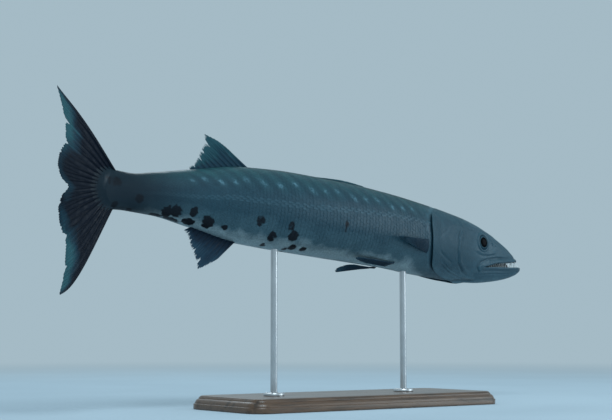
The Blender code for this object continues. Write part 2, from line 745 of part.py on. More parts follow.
def build_first_dorsal(look):
    """The spiny dorsal fin, folded back along the ridge of the back."""
    root = root_reader(FIRST_DORSAL_ROOT, back, GAP)

    def edge(share):
        station = FIRST_DORSAL_TIPS[0] + (FIRST_DORSAL_TIPS[1] - FIRST_DORSAL_TIPS[0]) * share
        height = FIRST_DORSAL_RISE * np.sin(math.pi * np.clip(0.22 + 0.70 * share, 0, 1)) + 0.0010
        return straight(station, 0.0, back(station) + height)

    median_fin("dorsal_fin_first", look, root, edge, 5, 5, (0.0026, 0.0009), 0.0012)


def build_tail_fin(look):
    """The forked tail fin with its two rounded inner lobes."""
    columns, ridge, tips = ray_columns(17)

    def root(share):
        across = TAIL_ROOT_SHARE * (1 - 2 * share)
        station = stalk_station(across)
        top, bottom = back(station), belly(station)
        height = (top + bottom) / 2 + (top - bottom) / 2 * across
        return straight(station + 2 * GAP, 0.0, height)

    rows = 12
    grid, along = fin_grid(columns, tips, root, outline_reader(TAIL_EDGE), rows, 0.0024)
    bow = np.sin(math.pi * along) * np.where(columns < 0.5, *TAIL_BOW) * STANDARD_LENGTH
    outer = np.abs(1 - 2 * columns) ** 3 * np.sign(1 - 2 * columns)
    grid[..., 2] += bow * outer
    lead = np.exp(-((np.minimum(columns, 1 - columns) / 0.03) ** 2))
    thin = 0.0042 + (0.0005 - 0.0042) * along**0.6
    half = thin * (0.72 + 0.40 * ridge) + 0.0013 * lead * (1 - 0.75 * along)
    normal = np.zeros_like(grid)
    normal[..., 1] = 1.0
    finish_node(solid_sheet("tail_fin", grid, normal, half), "tail_fin", look, sharp=70)


def paired_fin(name, look, side, root, lengths, splay, drop, rays, rows, thickness, fray):
    """A fan-shaped fin on one side of the body.

    Root gives station, lateral place and height where each column leaves the skin. Splay and drop are
    the outward and downward slopes in degrees, as (first column, last column).
    """
    columns, ridge, tips = ray_columns(rays)
    root_s, root_y, root_z = root(columns)
    reach = curve_through(lengths)(columns) + (tips - 1) * fray
    along = np.linspace(0, 1, rows)[:, None]
    outwards = np.tan(np.radians(splay[0] + (splay[1] - splay[0]) * columns))
    downwards = np.tan(np.radians(drop[0] + (drop[1] - drop[0]) * columns))
    station = root_s + reach * along
    lateral = root_y + reach * along * outwards + 0.003 * along**2
    height = root_z - reach * along * downwards
    thin = thickness[0] + (thickness[1] - thickness[0]) * along**0.8
    grid = straight(station, side * lateral, height)
    half = thin * (0.75 + 0.45 * ridge)
    finish_node(solid_sheet(name, grid, sheet_normals(grid), half), name, look, sharp=70)


def pectoral_root(columns):
    """The slanting root of a pectoral fin, clear of the skin behind the gill cover."""
    station = 0.3345 - 0.0020 * columns
    height = -0.0090 - 0.0245 * columns
    return station, side_at(station, height) + 0.0027, height


def pelvic_root(columns):
    """The root of a pelvic fin, beside the middle of the belly."""
    station = PELVIC_ROOT_STATIONS[0] + (PELVIC_ROOT_STATIONS[1] - PELVIC_ROOT_STATIONS[0]) * columns
    lateral = PELVIC_ROOT_LATERALS[0] + (PELVIC_ROOT_LATERALS[1] - PELVIC_ROOT_LATERALS[0]) * columns
    middle = belly(station) + (back(station) - belly(station)) * widest_share(station)
    power = lower_squareness(station)
    depth = (1 - (lateral / half_width(station)) ** power) ** (1 / power)
    return station, lateral, middle - (middle - belly(station)) * depth - 0.0030


def build_paired_fins(look):
    """Pectoral fins behind the gill covers and pelvic fins under the belly."""
    for side, end in ((1, "left"), (-1, "right")):
        paired_fin(f"pectoral_fin_{end}", look, side, pectoral_root, PECTORAL_LENGTHS, (8, 7), (5, -7),
                   9, 6, (0.0016, 0.0004), 0.0022)
    paired_fin("pelvic_fin_left", look, 1, pelvic_root, PELVIC_LENGTHS, (2, 3), (12.5, -4), 6, 6,
               (0.0018, 0.0004), 0.0022)
    paired_fin("pelvic_fin_right", look, -1, pelvic_root, PELVIC_LENGTHS, (4, -2), (1, 0), 6, 6,
               (0.0018, 0.0004), 0.0022)


def rod_foot(station):
    """Where a rod's axis crosses the underside of the belly."""
    return pose.place(straight(station, 0.0, float(belly(station))))


def rod_sockets():
    """Cutters for the holes that the rods stand in."""
    made = []
    for station in ROD_STATIONS:
        foot = rod_foot(station)
        shape = bmesh.new()
        bmesh.ops.create_cone(
            shape, cap_ends=True, segments=ROD_SIDES, radius1=ROD_RADIUS + GAP, radius2=ROD_RADIUS + GAP,
            depth=2 * (ROD_DEPTH + GAP),
        )
        bmesh.ops.translate(shape, verts=shape.verts, vec=Vector(foot))
        mesh = bpy.data.meshes.new("rod_socket")
        shape.to_mesh(mesh)
        shape.free()
        cutter = bpy.data.objects.new("rod_socket", mesh)
        bpy.context.scene.collection.objects.link(cutter)
        made.append(cutter)
    return made


def build_stand(base_look, rod_look):
    """A flat base with rounded corners and two round rods with foot flanges."""
    length, width, height = BASE_SIZE
    shape = bmesh.new()
    corners = []
    for sx, sy, start in ((1, 1, 0), (-1, 1, 90), (-1, -1, 180), (1, -1, 270)):
        for step in range(7):
            angle = math.radians(start + 15 * step)
            x = sx * (length / 2 - BASE_CORNER) + BASE_CORNER * math.cos(angle) + BASE_SHIFT[0]
            y = sy * (width / 2 - BASE_CORNER) + BASE_CORNER * math.sin(angle) + BASE_SHIFT[1]
            corners.append(shape.verts.new((x, y, 0.0)))
    bottom = shape.faces.new(corners)
    lifted = bmesh.ops.extrude_face_region(shape, geom=[bottom])
    top = [item for item in lifted["geom"] if isinstance(item, bmesh.types.BMVert)]
    bmesh.ops.translate(shape, verts=top, vec=(0, 0, height))
    bmesh.ops.recalc_face_normals(shape, faces=shape.faces)
    mesh = bpy.data.meshes.new("stand_base")
    shape.to_mesh(mesh)
    shape.free()
    base = bpy.data.objects.new("stand_base", mesh)
    bpy.context.scene.collection.objects.link(base)
    edge = base.modifiers.new("edge", "BEVEL")
    edge.width = BASE_BEVEL
    edge.segments = 2
    edge.limit_method = "ANGLE"
    edge.angle_limit = math.radians(50)
    finish_node(base, "stand_base", base_look, bent=False)
    for station, name in zip(ROD_STATIONS, ("stand_rod_front", "stand_rod_rear")):
        foot = rod_foot(station)
        low, high = height + GAP, foot[2] + ROD_DEPTH
        profile = (
            (FLANGE_RADIUS, low), (FLANGE_RADIUS, low + FLANGE_HEIGHT - EDGE_BREAK),
            (FLANGE_RADIUS - EDGE_BREAK, low + FLANGE_HEIGHT), (ROD_RADIUS, low + FLANGE_HEIGHT),
            (ROD_RADIUS, high - EDGE_BREAK), (ROD_RADIUS - EDGE_BREAK, high),
        )
        angles = np.linspace(0, 2 * math.pi, ROD_SIDES, endpoint=False)
        rings = []
        for radius, z in profile:
            ring = np.stack([radius * np.cos(angles), radius * np.sin(angles), np.full(ROD_SIDES, z)], -1)
            rings.append(ring + np.array([foot[0], foot[1], 0.0]))
        rod = loft(name, rings, (foot[0], foot[1], low), (foot[0], foot[1], high))
        finish_node(rod, name, rod_look, bent=False)


def settle_on_origin():
    """Shifts the whole model so that the middle of its lowest side is the origin."""
    bpy.context.view_layer.update()
    graph = bpy.context.evaluated_depsgraph_get()
    lowest, highest = Vector((9, 9, 9)), Vector((-9, -9, -9))
    shown = [obj for obj in bpy.context.scene.objects if obj.type == "MESH"]
    for obj in shown:
        for corner in obj.evaluated_get(graph).bound_box:
            lowest = Vector(map(min, lowest, corner))
            highest = Vector(map(max, highest, corner))
    shift = Vector((-(lowest.x + highest.x) / 2, -(lowest.y + highest.y) / 2, -lowest.z))
    for obj in shown:
        obj.data.transform(Matrix.Translation(shift))


def build():
    clear_scene()
    looks = make_materials()
    build_head(looks["skin"])
    build_lower_jaw(looks["skin"])
    build_eyes(looks["eye"])
    build_trunk(looks["skin"], rod_sockets())
    build_tail_stalk(looks["skin"])
    build_tail_fin(looks["fin"])
    build_first_dorsal(looks["fin"])
    build_second_dorsal(looks["fin"])
    build_anal_fin(looks["fin"])
    build_paired_fins(looks["fin"])
    build_stand(looks["base"], looks["rod"])
    settle_on_origin()


build()
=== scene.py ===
"""A life-size great barracuda on its display stand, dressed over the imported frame.

The fish is worked out straight, snout at x = 0 and tail towards -x, in shares of its standard length,
and is then laid along the frame's bent centreline. One skin stands for the head, jaw, trunk and stalk,
and overlapping scales lie on it. Angles round the body are 0 at its left side and 90 at its back.
"""

import logging
import math
from dataclasses import dataclass
from enum import Enum
from typing import Sequence

import bmesh
import bpy
import numpy as np
from bpy.types import ID, Material, Mesh, Node, NodeSocket, NodeTree, Object
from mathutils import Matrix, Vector

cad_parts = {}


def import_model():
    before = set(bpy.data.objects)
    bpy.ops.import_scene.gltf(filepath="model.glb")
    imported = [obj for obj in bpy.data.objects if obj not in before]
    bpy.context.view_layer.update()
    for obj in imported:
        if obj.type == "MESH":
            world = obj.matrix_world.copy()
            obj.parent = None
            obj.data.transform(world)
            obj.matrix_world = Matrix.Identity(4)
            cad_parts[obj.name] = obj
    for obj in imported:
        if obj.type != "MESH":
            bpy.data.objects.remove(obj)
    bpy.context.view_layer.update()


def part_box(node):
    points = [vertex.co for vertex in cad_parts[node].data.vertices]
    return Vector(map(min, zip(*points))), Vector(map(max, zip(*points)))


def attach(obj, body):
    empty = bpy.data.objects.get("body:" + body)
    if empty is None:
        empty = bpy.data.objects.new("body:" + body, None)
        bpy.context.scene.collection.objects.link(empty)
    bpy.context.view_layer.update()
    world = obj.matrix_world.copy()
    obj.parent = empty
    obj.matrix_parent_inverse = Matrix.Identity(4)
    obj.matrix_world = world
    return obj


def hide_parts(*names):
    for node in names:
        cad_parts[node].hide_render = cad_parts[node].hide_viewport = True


Array = np.ndarray
Colour = tuple[float, float, float]
Point2 = tuple[float, float]
Point3 = tuple[float, float, float]
Values = dict[str, Array]
LOG = logging.getLogger("barracuda")
ROOT_BODY = "root"
MILLIMETRE = 0.001
STAND_AHEAD = 0.010


def smooth_step(value: Array | float) -> Array:
    """Eases from 0 to 1 as the value goes from 0 to 1."""
    value = np.clip(value, 0.0, 1.0)
    return value * value * (3 - 2 * value)


def hump(distance: Array, width: float) -> Array:
    """A rounded bump that is 1 at no distance and dies away over a width."""
    return np.exp(-((distance / width) ** 2))


def between(ends: Point2, share: Array | float) -> Array:
    """The number at a share of the way from one end to the other."""
    return ends[0] + (ends[1] - ends[0]) * share


def level_degrees(angle: Array) -> Array:
    """Degrees above the widest line of angles round the body, alike on both sides."""
    return np.degrees(np.arcsin(np.sin(angle)))


def turns_round(count: int) -> Array:
    """Even turns round a circle, in radians."""
    return np.linspace(0, 2 * math.pi, count, endpoint=False)


def turn_matrix(axis: int, angle: float) -> Array:
    """The matrix that turns points about one axis.

    Args:
        axis: 0, 1 or 2 for x, y or z.
        angle: the angle in radians.

    Returns:
        Three rows of three.
    """
    made = np.eye(3)
    a, b = (axis + 1) % 3, (axis + 2) % 3
    made[a, a] = made[b, b] = math.cos(angle)
    made[a, b], made[b, a] = -math.sin(angle), math.sin(angle)
    return made


class Curve:
    """A smooth curve through (position, value) pairs that never overshoots them."""

    def __init__(self, points: Sequence[Point2]) -> None:
        """Stores the pairs and works out a tangent at each.

        Args:
            points: rising positions, with the value at each.
        """
        self.xs, self.ys = np.array(points, float).T
        self.spans = np.diff(self.xs)
        slopes = np.diff(self.ys) / self.spans
        self.tangents = np.zeros_like(self.ys)
        product, total = slopes[:-1] * slopes[1:], slopes[:-1] + slopes[1:]
        same_way = product > 0
        self.tangents[1:-1][same_way] = 2 * product[same_way] / total[same_way]
        self.tangents[0], self.tangents[-1] = slopes[0], slopes[-1]

    def __call__(self, position: Array | float) -> Array:
        """Reads the curve, which stays level beyond its ends.

        Args:
            position: where to read it.

        Returns:
            The value at each position.
        """
        x = np.clip(np.asarray(position, float), self.xs[0], self.xs[-1])
        k = np.clip(np.searchsorted(self.xs, x) - 1, 0, len(self.spans) - 1)
        t = (x - self.xs[k]) / self.spans[k]
        rise = self.ys[k] + (self.ys[k + 1] - self.ys[k]) * t * t * (3 - 2 * t)
        lean = self.tangents[k] * t * (1 - t) ** 2 - self.tangents[k + 1] * t * t * (1 - t)
        return rise + self.spans[k] * lean


@dataclass(frozen=True)
class Stretch:
    """A stretch between two ends, with the length over which it fades inside each."""

    ends: Point2
    fades: Point2

    def __call__(self, place: Array) -> Array:
        """How far inside the stretch each place is, from 0 outside it to 1."""
        start, end = (place - self.ends[0]) / self.fades[0], (self.ends[1] - place) / self.fades[1]
        return smooth_step(start) * smooth_step(end)


class Jaw(Enum):
    """The two jaws."""

    UPPER = "upper"
    LOWER = "lower"


class Flank(Enum):
    """The two sides of the fish, with the sign of their lateral places."""

    LEFT = 1
    RIGHT = -1


class Ridge(Enum):
    """The two edges of the fish that its middle fins stand on, with the way they point."""

    BACK = 1
    BELLY = -1


PROFILE_STATIONS = (0.0, 0.05, 0.10, 0.155, 0.22, 0.32, 0.42, 0.52, 0.62, 0.73, 0.83, 0.90, 0.95, 1.0)


def profile(*levels: float) -> Curve:
    """A curve through one level at each of the profile's stations."""
    return Curve(list(zip(PROFILE_STATIONS, levels, strict=True)))


@dataclass(frozen=True)
class FishShape:
    """Profiles of the straight fish in shares of its standard length, and the places on its skin."""

    length: float = 0.92
    back: Curve = profile(
        -0.0124, 0.0167, 0.0368, 0.0524, 0.0625, 0.0729, 0.0794, 0.0829, 0.0829, 0.0769, 0.0563,
        0.0400, 0.0310, 0.0330,
    )
    belly: Curve = profile(
        -0.0292, -0.0470, -0.0583, -0.0665, -0.0698, -0.0682, -0.0642, -0.0639, -0.0634, -0.0609, -0.0447,
        -0.0355, -0.0350, -0.0390,
    )
    half_width: Curve = profile(
        0.0075, 0.0165, 0.0225, 0.0280, 0.0390, 0.0500, 0.0555, 0.0575, 0.0560, 0.0490, 0.0350,
        0.0250, 0.0185, 0.0090,
    )
    widest_share: Curve = Curve(
        ((0.0, 0.55), (0.10, 0.60), (0.155, 0.60), (0.30, 0.52), (0.50, 0.50), (1.0, 0.50))
    )
    upper_squareness: Curve = Curve(
        ((0.0, 2.2), (0.10, 2.7), (0.155, 3.0), (0.24, 2.5), (0.34, 2.15), (1.0, 2.0))
    )
    lower_squareness: Curve = Curve(
        ((0.0, 2.0), (0.10, 1.75), (0.18, 1.75), (0.30, 2.0), (0.60, 2.1), (1.0, 2.0))
    )
    upper_lip: Curve = Curve(
        ((-0.03, -0.0050), (0.02, -0.0086), (0.045, -0.0138), (0.094, -0.0222), (0.143, -0.0353))
    )
    lower_lip: Curve = Curve(
        ((-0.03, -0.0150), (0.02, -0.0205), (0.06, -0.0256), (0.094, -0.0290), (0.143, -0.0353))
    )
    gill_edge: Curve = Curve((
        (-90.0, 0.208), (-80.0, 0.227), (-70.0, 0.266), (-57.0, 0.298), (-45.0, 0.311), (-15.0, 0.3215),
        (10.0, 0.3235), (28.0, 0.318), (55.0, 0.297), (75.0, 0.274), (90.0, 0.264),
    ))
    upper_tip: Point2 = (0.012, -0.0072)
    lower_tip: Point2 = (0.0, -0.0225)
    nose_rounding: float = 0.022
    mouth_corner: float = 0.143
    gill_lift: float = 0.0028
    gill_lift_length: float = 0.034
    gill_girth_height: float = 0.03
    nape_freedom: float = 0.03
    nape_from: float = 18.0
    nape_span: float = 24.0
    eye_place: Point2 = (0.146, 0.0135)
    eye_radius: float = 0.0176
    eye_depth: float = 0.0062
    eye_inset: float = 0.0028
    stalk_end: float = 0.999
    stalk_hollow: float = 0.024
    run_on: float = 0.0304
    run_on_width: Curve = Curve((
        (0.0, 1.0), (0.0022, 0.88), (0.0054, 0.72), (0.0098, 0.55), (0.0141, 0.41), (0.0196, 0.27),
        (0.0250, 0.16), (0.0293, 0.09), (0.0304, 0.0),
    ))
    run_on_flare: float = 0.45

    def tip(self, jaw: Jaw | None) -> Point2 | None:
        """Station and height of a jaw's tip."""
        return {Jaw.UPPER: self.upper_tip, Jaw.LOWER: self.lower_tip}.get(jaw)

    def lip(self, jaw: Jaw) -> Curve:
        """The lip line of a jaw."""
        return self.upper_lip if jaw is Jaw.UPPER else self.lower_lip

    def limits(self, station: Array, jaw: Jaw | None = None) -> tuple[Array, Array, Array, Array]:
        """Top, widest line, bottom and half-width of a section, rounded in towards a jaw's tip.

        Args:
            station: places along the fish.
            jaw: the jaw whose tip the section belongs to, or None behind the mouth.

        Returns:
            Three heights and the half-width.
        """
        top, bottom, width = self.back(station), self.belly(station), self.half_width(station)
        tip = self.tip(jaw)
        if tip is not None:
            along = np.clip((station - tip[0]) / self.nose_rounding, 0.0, 1.0)
            swell = np.sqrt(1 - (1 - along) ** 2)
            top, bottom = (tip[1] + (level - tip[1]) * swell for level in (top, bottom))
            width = width * swell
        return top, bottom + (top - bottom) * self.widest_share(station), bottom, width

    def section(self, station: Array, angle: Array, jaw: Jaw | None = None) -> tuple[Array, Array]:
        """Lateral place and height on a section.

        Args:
            station: places along the fish.
            angle: angles round it, in radians.
            jaw: the jaw the section belongs to, if any.

        Returns:
            Lateral places and heights.
        """
        top, middle, bottom, width = self.limits(station, jaw)
        across, up = np.cos(angle), np.sin(angle)
        power = 2 / np.where(up > 0, self.upper_squareness(station), self.lower_squareness(station))
        reach = np.where(up > 0, top - middle, middle - bottom)
        lateral = width * np.sign(across) * np.abs(across) ** power
        return lateral, middle + reach * np.sign(up) * np.abs(up) ** power

    def side_angle(self, station: Array, height: Array, jaw: Jaw | None = None) -> Array:
        """Angle above the left side's widest line at which a section passes a height.

        Args:
            station: places along the fish.
            height: heights looked for.
            jaw: the jaw the section belongs to, if any.

        Returns:
            Angles in radians, below zero under the widest line.
        """
        top, middle, bottom, _ = self.limits(station, jaw)
        above = height > middle
        reach = np.maximum(np.where(above, top - middle, middle - bottom), 1e-9)
        square = np.where(above, self.upper_squareness(station), self.lower_squareness(station))
        share = np.clip(np.abs(height - middle) / reach, 0.0, 1.0)
        return np.where(above, 1, -1) * np.arcsin(share ** (square / 2))

    def side_at(self, station: Array, height: Array) -> Array:
        """Half-width of the body at a height."""
        return self.section(station, self.side_angle(station, height))[0]

    def gill_station(self, angle: Array) -> Array:
        """Station of the gill cover's edge at each angle, alike on both sides."""
        return self.gill_edge(level_degrees(angle))

    def stalk_rim(self, angle: Array) -> Array:
        """Station where the stalk ends and runs on over the tail fin's base."""
        return self.stalk_end - self.stalk_hollow * np.sin(angle) ** 2

    def gill_freedom(self, angle: Array) -> Array:
        """How freely the gill cover stands off the body, from its share at the nape to 1."""
        held = smooth_step((level_degrees(angle) - self.nape_from) / self.nape_span)
        return self.nape_freedom + (1 - self.nape_freedom) * (1 - held)

    def metres(self, station: Array, lateral: Array, height: Array) -> Array:
        """Straight-frame metres of places given in shares of the standard length.

        Args:
            station: places along the fish.
            lateral: places to its left.
            height: heights.

        Returns:
            Points, over the common shape of the three.
        """
        return np.stack(np.broadcast_arrays(-np.asarray(station, float), lateral, height), -1) * self.length

    def cover(self, station: Array, angle: Array, jaw: Jaw | None = None, head: bool = False) -> Array:
        """Points of the body's outside, with the gill cover's swell where asked for.

        Args:
            station: places along the fish.
            angle: angles round it, in radians.
            jaw: the jaw the points belong to, if any.
            head: whether the points are on the head rather than on the trunk.

        Returns:
            Straight-frame points in metres.
        """
        lateral, height = self.section(station, angle, jaw)
        middle = (self.back(station) + self.belly(station)) / 2
        if head:
            rim = self.gill_station(angle)
            near = smooth_step(1 - (rim - station) / self.gill_lift_length)
            girth = np.hypot(self.half_width(rim), self.gill_girth_height * np.sin(angle))
            lift = 1 + self.gill_lift / girth * near * self.gill_freedom(angle)
            lateral, height = lateral * lift, middle + (height - middle) * lift
        past = np.maximum(station - self.stalk_rim(angle), 0.0)
        height = middle + (height - middle) * (1 + self.run_on_flare * past / self.run_on)
        return self.metres(station, lateral * self.run_on_width(past), height)


@dataclass
class Pose:
    """The bent centreline that the straight fish is laid along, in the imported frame."""

    shape: FishShape
    shift: Array
    mid_height: float = 0.302
    nose_down: float = 5.3
    plane_bank: float = 4.0
    body_roll: float = 10.6
    tail_roll: float = 8.2
    roll_eases_from: float = 0.7
    mid_station: float = 0.5
    step: float = 0.004
    ends: Point2 = (-0.04, 1.16)
    bend: Curve = Curve((
        (0.0, 6.1), (0.30, 6.1), (0.50, 0.0), (0.75, -4.1), (0.90, -0.7), (1.0, 10.8), (1.14, 50.0),
    ))

    def __post_init__(self) -> None:
        """Works out the centreline and the fish's left and upward directions along it."""
        self.stations = np.arange(self.ends[0], self.ends[1] + self.step, self.step)
        turn = np.radians(self.bend(self.stations))
        plane = turn_matrix(1, math.radians(self.nose_down)) @ turn_matrix(0, math.radians(self.plane_bank))
        ahead = np.stack([np.cos(turn), np.sin(turn), np.zeros_like(turn)], -1) @ plane.T
        left = np.stack([-np.sin(turn), np.cos(turn), np.zeros_like(turn)], -1) @ plane.T
        up = np.cross(ahead, left)
        ease = smooth_step((self.stations - self.roll_eases_from) / (1 - self.roll_eases_from))
        roll = np.radians(between((self.body_roll, self.tail_roll), ease))[:, None]
        self.up = up * np.cos(roll) + left * np.sin(roll)
        self.left = left * np.cos(roll) - up * np.sin(roll)
        steps = (ahead[1:] + ahead[:-1]) / 2 * self.step * self.shape.length
        line = np.concatenate([np.zeros((1, 3)), -np.cumsum(steps, 0)])
        middle = [np.interp(self.mid_station, self.stations, line[:, k]) for k in range(3)]
        self.line = line - middle + np.array([0.0, 0.0, self.mid_height]) + self.shift

    def place(self, points: Array) -> Array:
        """Displayed places of straight-frame points.

        Args:
            points: points in metres, in any array whose last axis is 3 long.

        Returns:
            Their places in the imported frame.
        """
        points = np.asarray(points, float)
        stations = -points[..., 0] / self.shape.length
        line, left, up = (
            np.stack([np.interp(stations, self.stations, table[:, k]) for k in range(3)], -1)
            for table in (self.line, self.left, self.up)
        )
        return line + points[..., 1:2] * left + points[..., 2:3] * up


class Girth:
    """Arc length round the body, so that scales and columns are laid evenly."""

    def __init__(self, shape: FishShape, rows: int = 251, samples: int = 361) -> None:
        """Measures sections all along the body.

        Args:
            shape: the fish.
            rows: number of sections.
            samples: points round each.
        """
        self.stations = np.linspace(0.10, 1.0, rows)
        self.angles = np.linspace(math.pi / 2, 2.5 * math.pi, samples)
        grid_s, grid_a = np.meshgrid(self.stations, self.angles, indexing="ij")
        points = shape.cover(grid_s, grid_a)
        steps = np.linalg.norm(np.diff(points, axis=1), axis=-1)
        arcs = np.concatenate([np.zeros((rows, 1)), np.cumsum(steps, 1)], 1)
        self.lengths = arcs[:, -1]
        shares = np.linspace(0, 1, samples)
        self.table = np.stack([np.interp(shares, arc / arc[-1], self.angles) for arc in arcs])

    def length(self, station: Array) -> Array:
        """Length round the body in metres."""
        return np.interp(station, self.stations, self.lengths)

    def angle(self, station: Array, share: Array) -> Array:
        """Angle at a share of the way round, from the back over the right side.

        Args:
            station: places along the fish.
            share: shares of the way round.

        Returns:
            Angles in radians.
        """
        turns = np.floor(share)
        row = np.clip((station - self.stations[0]) / (self.stations[1] - self.stations[0]), 0,
                      len(self.stations) - 1.001)
        column = (share - turns) * (len(self.angles) - 1)
        r, c = row.astype(int), np.minimum(column.astype(int), len(self.angles) - 2)
        fr, fc = row - r, column - c
        near = self.table[r, c] * (1 - fc) + self.table[r, c + 1] * fc
        far = self.table[r + 1, c] * (1 - fc) + self.table[r + 1, c + 1] * fc
        return near * (1 - fr) + far * fr + turns * 2 * math.pi


@dataclass(frozen=True)
class Crest:
    """A raised line or a groove on the side of the head.

    Path holds (station, height) points, half_width is in shares and rise in millimetres, below zero
    for a groove. Flat makes the top a plate rather than a rounded ridge.
    """

    path: tuple[Point2, ...]
    half_width: float
    rise: float
    flat: bool = False

    def rise_at(self, station: Array, height: Array) -> Array:
        """How far the crest lifts the skin.

        Args:
            station: places along the fish.
            height: heights there.

        Returns:
            Rises in metres.
        """
        rise = self.rise * MILLIMETRE
        nearest = np.full(np.shape(station), 9.0)
        share = np.zeros(np.shape(station))
        for k, (a, b) in enumerate(zip(self.path, self.path[1:])):
            ds, dz = b[0] - a[0], b[1] - a[1]
            t = np.clip(((station - a[0]) * ds + (height - a[1]) * dz) / (ds * ds + dz * dz), 0, 1)
            gap = np.hypot(station - a[0] - t * ds, height - a[1] - t * dz)
            closer = gap < nearest
            nearest = np.where(closer, gap, nearest)
            share = np.where(closer, (k + t) / (len(self.path) - 1), share)
        if self.flat:
            return rise * smooth_step((self.half_width * 1.25 - nearest) / (self.half_width * 0.5))
        fade = np.clip(np.sin(math.pi * np.clip(share, 0.02, 0.98)) * 2.5, 0, 1)
        return rise * hump(nearest, self.half_width) * fade


@dataclass
class HeadRelief:
    """Lips, bones, folds and pits that the skin shows on the head."""

    shape: FishShape
    end: float = 0.335
    lip_rise: float = 1.3 * MILLIMETRE
    lip_stretch: Stretch = Stretch((0.010, 0.150), (0.012, 0.014))
    lip_height: float = 0.0026
    lip_groove: Point2 = (0.0082, 0.0018)
    lip_groove_share: float = 0.55
    socket_depth: float = 8.0 * MILLIMETRE
    nostril_rise: float = 0.55 * MILLIMETRE
    nostrils: tuple[tuple[Point2, float], ...] = (
        ((0.1130, 0.0150), 0.0022), ((0.1020, 0.0125), 0.0014),
    )
    throat_depth: float = 2.0 * MILLIMETRE
    throat_place: float = 0.0065
    throat_width: float = 0.0022
    throat_stretch: Stretch = Stretch((0.150, 0.262), (0.02, 0.02))
    crests: tuple[Crest, ...] = (
        # The flat end of the upper jaw bone, and the fold above it.
        Crest(((0.060, -0.0120), (0.090, -0.0170), (0.120, -0.0235)), 0.0036, 0.8, True),
        Crest(((0.118, -0.0240), (0.138, -0.0305), (0.150, -0.0385)), 0.0062, 1.5, True),
        Crest(((0.060, -0.0070), (0.100, -0.0120), (0.130, -0.0185), (0.152, -0.0270),
               (0.160, -0.0370), (0.154, -0.0470)), 0.0018, -1.4),
        # Bones round the eye, the brow and the crown.
        Crest(((0.098, 0.0010), (0.125, -0.0065), (0.150, -0.0085), (0.172, -0.0035)), 0.0028, 0.9),
        Crest(((0.100, -0.0055), (0.130, -0.0125), (0.158, -0.0135), (0.180, -0.0080)), 0.0020, -0.6),
        Crest(((0.092, 0.0270), (0.120, 0.0345), (0.150, 0.0385), (0.185, 0.0390)), 0.0034, 1.2),
        Crest(((0.100, 0.0225), (0.125, 0.0300), (0.152, 0.0335), (0.180, 0.0330)), 0.0020, -0.7),
        Crest(((0.045, 0.0085), (0.070, 0.0180), (0.096, 0.0260)), 0.0026, 0.7),
        Crest(((0.178, 0.0300), (0.215, 0.0330), (0.250, 0.0345)), 0.0030, 0.5),
        # Edge of the cheek, with the groove behind it.
        Crest(((0.214, 0.0320), (0.229, 0.0100), (0.231, -0.0150), (0.222, -0.0360), (0.201, -0.0490),
               (0.172, -0.0540)), 0.0034, 0.9),
        Crest(((0.221, 0.0320), (0.236, 0.0100), (0.238, -0.0160), (0.229, -0.0390), (0.206, -0.0535),
               (0.172, -0.0590)), 0.0021, -1.3),
        Crest(((0.262, 0.0250), (0.285, 0.0120), (0.303, -0.0020)), 0.0030, -0.5),
        Crest(((0.245, -0.0420), (0.272, -0.0350), (0.298, -0.0240)), 0.0024, -0.9),
        # Line along the lower jaw.
        Crest(((0.030, -0.0330), (0.070, -0.0400), (0.110, -0.0450), (0.150, -0.0510)), 0.0018, -0.6),
        Crest(((0.120, -0.0420), (0.150, -0.0470), (0.180, -0.0500)), 0.0040, 0.6),
        # Folds of the gill membrane under the cheek.
        Crest(((0.165, -0.0625), (0.205, -0.0635), (0.245, -0.0590), (0.285, -0.0480)), 0.0016, -1.1),
        Crest(((0.180, -0.0580), (0.215, -0.0585), (0.250, -0.0530), (0.285, -0.0420)), 0.0014, -0.8),
    )

    def rise(self, station: Array, lateral: Array, height: Array) -> Array:
        """How far the skin stands off the plain form of the head.

        Args:
            station: places along the fish.
            lateral: lateral places there.
            height: heights there.

        Returns:
            Rises in metres, below zero in pits and grooves.
        """
        rise = np.zeros(np.shape(station))
        for crest in self.crests:
            rise = rise + np.where(station < self.end, crest.rise_at(station, height), 0.0)
        for jaw, way in ((Jaw.UPPER, 1), (Jaw.LOWER, -1)):
            off = (height - self.shape.lip(jaw)(station)) * way
            fold = self.lip_groove_share * hump(off - self.lip_groove[0], self.lip_groove[1])
            bulge = hump(off - self.lip_height, self.lip_height) - fold
            rise = rise + self.lip_rise * bulge * self.lip_stretch(station) * (off > -0.003)
        centre, radius = self.shape.eye_place, self.shape.eye_radius
        gap = np.hypot(station - centre[0], height - centre[1])
        rise = rise - self.socket_depth * smooth_step((radius - gap) / (radius * 0.10))
        for place, size in self.nostrils:
            gap = np.hypot(station - place[0], height - place[1]) / size
            rise = rise + self.nostril_rise * (hump(gap - 1.9, 0.6) - 3.6 * hump(gap, 1.0))
        # A groove on each side of the throat, under the head alone.
        groove = hump(np.abs(lateral) - self.throat_place, self.throat_width) * (height < -0.03)
        return rise - self.throat_depth * groove * self.throat_stretch(station)


